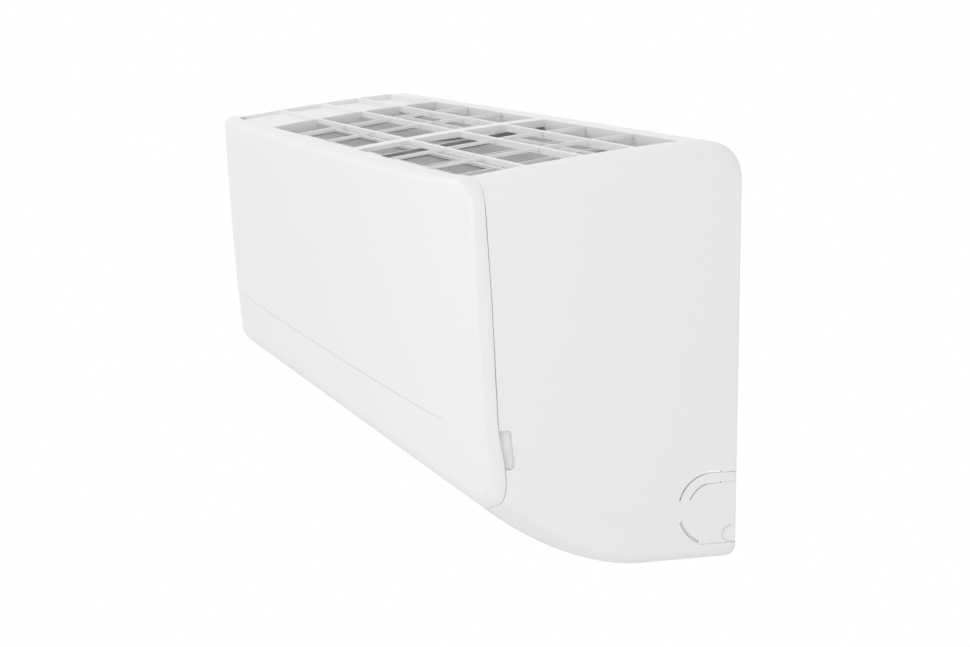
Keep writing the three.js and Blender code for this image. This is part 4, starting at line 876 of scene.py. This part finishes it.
class UNIT_OT_casing(bpy.types.Operator):
    """Builds the casing with its intake grille"""
    bl_idname = "unit.casing"
    bl_label = "Casing"

    def execute(self, context):
        behind = shape(form("casing_shell"), "DIFFERENCE", [ahead(SEAM_GAP / 2)])
        hollow = shape(form("hollow", inset=WALL, rear=-6), "DIFFERENCE", [ahead(SEAM_GAP / 2 + WALL)])
        additions = casing_additions(behind)
        casing = shape(behind, "DIFFERENCE", [hollow])
        shape(casing, "UNION", additions)
        shape(casing, "DIFFERENCE", grille_cells() + casing_openings())
        casing.name = "casing_shell"
        soften(casing, context.scene.unit_sizes.rib_round, 2, 40)
        marks = side_marks()
        shape(casing, "DIFFERENCE", [mirrored(mark) for mark in marks] + marks)
        soften(casing, 0, angle=40)
        dress(casing, white(), "unit", "white_plastic", "casing")
        return {"FINISHED"}


# ---------------------------------------------------------------- front panel

def panel_arms():
    arms = []
    for side in (-1, 1):
        x, half = side * ARM_AT, ARM / 2
        outline = [(HINGE[0] - 3, HINGE[1] + 1), (ARM_FOOT[0] - 3, ARM_FOOT[1] + 8),
                   (ARM_FOOT[0] - 2, ARM_FOOT[1] - 8), (HINGE[0] + 2, HINGE[1] - 2.6)]
        arm = prism(outline, x - half, x + half)
        reach = PIN_REACH + ARM_SLOT
        shape(arm, "UNION", [rod(3.4, (x - half, *HINGE), (x + half, *HINGE)),
                             rod(HINGE_PIN, (x - reach, *HINGE), (x + reach, *HINGE), 24)])
        trim = block((x - half - 1, x + half + 1), (-DEPTH - 10, front_at(ARM_FOOT[1], x) + PANEL_WALL - 1), (0, HEIGHT))
        arms.append(shape(arm, "DIFFERENCE", [trim]))
    return arms


def panel_ribs():
    """Two stiffening ribs along the inside"""
    ribs = []
    for z in (135, 200):
        bar = block((-300, 300), (-DEPTH - 5, -DEPTH + 12), (z - 1, z + 1))
        ribs.append(shape(bar, "INTERSECT", [form("inside", inset=1, lift=PANEL_LIFT)]))
    return ribs


def crease_groove():
    """A fine groove along the crease, running out at both ends"""
    def ring(x):
        depth = CREASE_GROOVE[1] * ease((CREASE_END - abs(x)) / CREASE_FADE)
        face, half = front_at(CREASE, x), CREASE_GROOVE[0] / 2
        return [(x, face - 1, CREASE + half), (x, face + depth, CREASE), (x, face - 1, CREASE - half)]

    steps = [354, 345, 330, 312, 288, 255, 210, 150, 80]
    return skin("crease_groove", [ring(x) for x in steps + [0] + [-x for x in reversed(steps)]])


class UNIT_OT_front_panel(bpy.types.Operator):
    """Builds the swing-up front panel"""
    bl_idname = "unit.front_panel"
    bl_label = "Front panel"

    def execute(self, context):
        panel = form("front_panel_shell", lift=PANEL_LIFT)
        shape(panel, "INTERSECT", [ahead(-SEAM_GAP / 2)])
        shape(panel, "DIFFERENCE", [form("panel_hollow", inset=PANEL_WALL, lift=PANEL_LIFT)])
        shape(panel, "UNION", panel_arms() + panel_ribs())
        shape(panel, "DIFFERENCE", [crease_groove()])
        soften(panel, context.scene.unit_sizes.edge_round, 3, 35, clean=False)
        dress(panel, white(), "panel", "white_plastic", "front_panel")
        return {"FINISHED"}


# ---------------------------------------------------------------- louver, vanes and air filters

class UNIT_OT_louver(bpy.types.Operator):
    """Rounds the air louver and its motor"""
    bl_idname = "unit.louver"
    bl_label = "Louver"

    def execute(self, context):
        from_frame("louver", "louver_blade", 0.5, white(), "white_plastic", angle=30)
        from_frame("louver_motor", "louver_stepper", 0.3, steel(), "steel")
        return {"FINISHED"}


class UNIT_OT_vanes(bpy.types.Operator):
    """Rounds the upright vanes and their link rods"""
    bl_idname = "unit.vanes"
    bl_label = "Vanes"

    def execute(self, context):
        for group in ("left", "right"):
            for i in range(1, 6):
                from_frame(f"vane_{group}_{i}", f"air_vane_{group}_{i}", 0.3, inner(), "inner_plastic")
            from_frame(f"vane_link_{group}", f"link_rod_{group}", 0.3, inner(), "inner_plastic")
        return {"FINISHED"}


class UNIT_OT_filters(bpy.types.Operator):
    """Rounds the filter frames and lays the nets in them"""
    bl_idname = "unit.filters"
    bl_label = "Air filters"

    def execute(self, context):
        for side in ("left", "right"):
            from_frame(f"{side}_filter_frame", f"{side}_filter_grid", 0.35, white(), "white_plastic")
            from_frame(f"{side}_filter_net", f"{side}_filter_weave", 0, net(), "filter_net")
        return {"FINISHED"}


# ---------------------------------------------------------------- heat exchanger

def fin_stack(node, name, pitch):
    """Thin fins side by side, each with the slab's own section"""
    low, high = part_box(node)
    slab = copy_of(frame["nodes"][node], name)
    edit(slab)
    bpy.ops.mesh.remove_doubles(threshold=0.002 * MM)
    bpy.ops.mesh.bisect(plane_co=(low.x + FIN_THICK * MM, 0, 0), plane_no=(1, 0, 0), use_fill=True, clear_outer=True)
    done()
    active(slab)
    bpy.ops.object.modifier_add(type="ARRAY")
    array = slab.modifiers[-1]
    array.use_relative_offset = False
    array.use_constant_offset = True
    array.constant_offset_displace = (pitch, 0, 0)
    array.count = int((high.x - low.x - FIN_THICK * MM) / pitch) + 1
    return apply_modifiers(slab)


FIN_THICK = 0.35


class UNIT_OT_heat_exchanger(bpy.types.Operator):
    """Builds the fins, end sheets with return bends, coolant pipes and their nuts"""
    bl_idname = "unit.heat_exchanger"
    bl_label = "Heat exchanger"

    def execute(self, context):
        pitch = context.scene.unit_sizes.fin_pitch
        for part in ("front", "upper", "rear"):
            stack = fin_stack(f"fin_pack_{part}", f"fins_{part}", pitch)
            dress(stack, aluminium(), "unit", "fins", f"fin_pack_{part}")
        for side in ("left", "right"):
            from_frame(f"tube_sheet_{side}", f"return_bends_{side}", 0, zinc(), "galvanised_steel", angle=50)
        for line in ("gas", "liquid"):
            from_frame(f"{line}_pipe", f"{line}_tube", 0, copper(), "copper", angle=70)
            from_frame(f"{line}_flare_nut", f"{line}_nut", 0.3, brass(), "brass")
        from_frame("coil_sensor", "coil_probe", 0, copper(), "copper", angle=50)
        return {"FINISHED"}


# ---------------------------------------------------------------- fan

class UNIT_OT_fan(bpy.types.Operator):
    """Builds the cross-flow fan wheel, its shafts, bearing and motor"""
    bl_idname = "unit.fan"
    bl_label = "Fan"

    def execute(self, context):
        from_frame("fan_wheel", "cross_flow_wheel", 0, grey(), "grey_plastic")
        from_frame("motor_shaft", "motor_spindle", 0.2, steel(), "steel", angle=50)
        from_frame("stub_shaft", "stub_spindle", 0.2, steel(), "steel", angle=50)
        from_frame("fan_bearing", "bearing_ring", 0.3, rubber(), "rubber")
        from_frame("fan_motor", "motor_can", 0, steel(), "steel", angle=30)
        from_frame("motor_cover", "motor_clamp", 0.3, inner(), "inner_plastic")
        return {"FINISHED"}


# ---------------------------------------------------------------- chassis, plate, pan and drain

class UNIT_OT_chassis(bpy.types.Operator):
    """Rounds the rear chassis, drain pan, drain pieces and mounting plate"""
    bl_idname = "unit.chassis"
    bl_label = "Chassis and plate"

    def execute(self, context):
        from_frame("rear_chassis", "chassis_moulding", 0.4, inner(), "inner_plastic")
        from_frame("drain_pan", "pan_moulding", 0.4, inner(), "inner_plastic")
        from_frame("drain_tube", "drain_hose_stub", 0, grey(), "grey_plastic", angle=60)
        from_frame("drain_cap", "drain_plug", 0.3, rubber(), "rubber")
        from_frame("mounting_plate", "wall_plate", 0.2, zinc(), "galvanised_steel")
        return {"FINISHED"}


# ---------------------------------------------------------------- controls and fasteners

class UNIT_OT_controls(bpy.types.Operator):
    """Finishes the control box, boards, terminals, sensor and push button"""
    bl_idname = "unit.controls"
    bl_label = "Controls"

    def execute(self, context):
        from_frame("control_box", "control_tray", 0.25, zinc(), "galvanised_steel")
        from_frame("control_box_cover", "control_lid", 0.25, zinc(), "galvanised_steel")
        from_frame("control_board", "main_board", 0.2, laminate(), "circuit_board")
        from_frame("terminal_block", "terminal_strip", 0.3, dark(), "dark_plastic")
        from_frame("cable_clamp", "cord_clamp", 0.3, dark(), "dark_plastic")
        from_frame("room_sensor", "air_probe", 0.2, dark(), "dark_plastic")
        from_frame("indicator_board", "lamp_board", 0.2, laminate(), "circuit_board")
        from_frame("push_button", "manual_button", 0.4, grey(), "grey_plastic")
        return {"FINISHED"}


class UNIT_OT_fasteners(bpy.types.Operator):
    """Finishes the casing screws and their caps"""
    bl_idname = "unit.fasteners"
    bl_label = "Screws and caps"

    def execute(self, context):
        for place in ("left", "middle", "right"):
            from_frame(f"casing_screw_{place}", f"screw_{place}", 0.2, steel(), "steel")
            from_frame(f"screw_cap_{place}", f"cap_{place}", 0.25, white(), "white_plastic")
        return {"FINISHED"}


# ---------------------------------------------------------------- stage

FLOOR_DROP = 1.4                 # metres from the unit down to the floor
FLOOR_WIDE = 5.0
FLOOR_GLOW = 0.85                # share of the floor seen as plain white; the rest keeps the shadow
WORLD_LEVEL = 0.78


def seen_share(nodes, links):
    """1 where the ray comes from the camera, a reflection or a pane, else 0"""
    path = nodes.new("ShaderNodeLightPath")
    pair = nodes.new("ShaderNodeMath")
    pair.operation = "MAXIMUM"
    links.new(path.outputs["Is Camera Ray"], pair.inputs[0])
    links.new(path.outputs["Is Glossy Ray"], pair.inputs[1])
    share = nodes.new("ShaderNodeMath")
    share.operation = "MAXIMUM"
    links.new(pair.outputs[0], share.inputs[0])
    links.new(path.outputs["Is Transmission Ray"], share.inputs[1])
    return share


def pale_floor():
    material = bpy.data.materials.new("pale floor")
    material.use_nodes = True
    nodes, links = material.node_tree.nodes, material.node_tree.links
    shader = nodes["Principled BSDF"]
    shader.inputs["Base Color"].default_value = (0.9, 0.9, 0.9, 1)
    shader.inputs["Roughness"].default_value = 0.9
    glow = nodes.new("ShaderNodeEmission")
    part = nodes.new("ShaderNodeMath")
    part.operation = "MULTIPLY"
    part.inputs[1].default_value = FLOOR_GLOW
    blend = nodes.new("ShaderNodeMixShader")
    links.new(seen_share(nodes, links).outputs[0], part.inputs[0])
    links.new(part.outputs[0], blend.inputs[0])
    links.new(shader.outputs[0], blend.inputs[1])
    links.new(glow.outputs[0], blend.inputs[2])
    links.new(blend.outputs[0], nodes["Material Output"].inputs["Surface"])
    return material


def white_world():
    world = bpy.data.worlds.new("white surroundings")
    bpy.context.scene.world = world
    world.use_nodes = True
    nodes, links = world.node_tree.nodes, world.node_tree.links
    plain = nodes["Background"]
    plain.inputs["Color"].default_value = (1, 1, 1, 1)
    plain.inputs["Strength"].default_value = WORLD_LEVEL
    seen = nodes.new("ShaderNodeBackground")
    seen.inputs["Color"].default_value = (1, 1, 1, 1)
    blend = nodes.new("ShaderNodeMixShader")
    links.new(seen_share(nodes, links).outputs[0], blend.inputs[0])
    links.new(plain.outputs[0], blend.inputs[1])
    links.new(seen.outputs[0], blend.inputs[2])
    links.new(blend.outputs[0], nodes["World Output"].inputs["Surface"])


def lamp(name, place, target, size, power):
    way = Vector(target) - Vector(place)
    bpy.ops.object.light_add(type="AREA", location=place, rotation=way.to_track_quat("-Z", "Y").to_euler())
    light = bpy.context.active_object
    light.name = name
    light.data.shape = "SQUARE"
    light.data.size = size
    light.data.energy = power


class UNIT_OT_stage(bpy.types.Operator):
    """Sets the floor, the soft light and the camera"""
    bl_idname = "unit.stage"
    bl_label = "Stage"

    def execute(self, context):
        deselect()
        bpy.ops.mesh.primitive_plane_add(size=FLOOR_WIDE, location=(0, 0, -FLOOR_DROP))
        floor = apply_place(bpy.context.active_object)
        floor.name = "floor"
        floor.data.materials.append(pale_floor())
        white_world()
        lamp("key softbox", (-1.3, -1.8, 2.1), (-0.1, -0.1, 0), 1.2, 13)
        lamp("side softbox", (1.3, -1.0, 0.2), (0.38, -0.1, 0), 0.6, 3.4)
        deselect()
        bpy.ops.object.camera_add(location=metres(*CAMERA_PLACE),
                                  rotation=Vector(CAMERA_WAY).to_track_quat("-Z", "Y").to_euler())
        camera = bpy.context.active_object
        camera.data.sensor_width = SENSOR
        camera.data.lens = SENSOR * CAMERA_FOCUS / PHOTO_WIDE
        context.scene.camera = camera
        context.scene.view_settings.view_transform = "Standard"
        return {"FINISHED"}


# ---------------------------------------------------------------- panel and registration

OPERATORS = (UNIT_OT_casing, UNIT_OT_front_panel, UNIT_OT_louver, UNIT_OT_vanes, UNIT_OT_filters,
             UNIT_OT_heat_exchanger, UNIT_OT_fan, UNIT_OT_chassis, UNIT_OT_controls, UNIT_OT_fasteners,
             UNIT_OT_stage)


class UNIT_PT_indoor_unit(bpy.types.Panel):
    """Lists the steps that build the unit"""
    bl_idname = "UNIT_PT_indoor_unit"
    bl_label = "Indoor Unit"
    bl_space_type = "VIEW_3D"
    bl_region_type = "UI"
    bl_category = "Indoor Unit"

    def draw(self, context):
        for group in (context.scene.unit_sizes, context.scene.unit_colours):
            for name in group.bl_rna.properties.keys():
                if name not in ("rna_type", "name"):
                    self.layout.prop(group, name)
        for operator in OPERATORS:
            self.layout.operator(operator.bl_idname)


CLASSES = (UnitSizes, UnitColours, *OPERATORS, UNIT_PT_indoor_unit)


def register():
    for cls in CLASSES:
        bpy.utils.register_class(cls)
    bpy.types.Scene.unit_sizes = bpy.props.PointerProperty(type=UnitSizes)
    bpy.types.Scene.unit_colours = bpy.props.PointerProperty(type=UnitColours)


def unregister():
    del bpy.types.Scene.unit_colours
    del bpy.types.Scene.unit_sizes
    for cls in reversed(CLASSES):
        bpy.utils.unregister_class(cls)


def main():
    register()
    for step in (bpy.ops.unit.casing, bpy.ops.unit.front_panel, bpy.ops.unit.louver, bpy.ops.unit.vanes,
                 bpy.ops.unit.filters, bpy.ops.unit.heat_exchanger, bpy.ops.unit.fan, bpy.ops.unit.chassis,
                 bpy.ops.unit.controls, bpy.ops.unit.fasteners, bpy.ops.unit.stage):
        step()


if __name__ == "__main__":
    main()
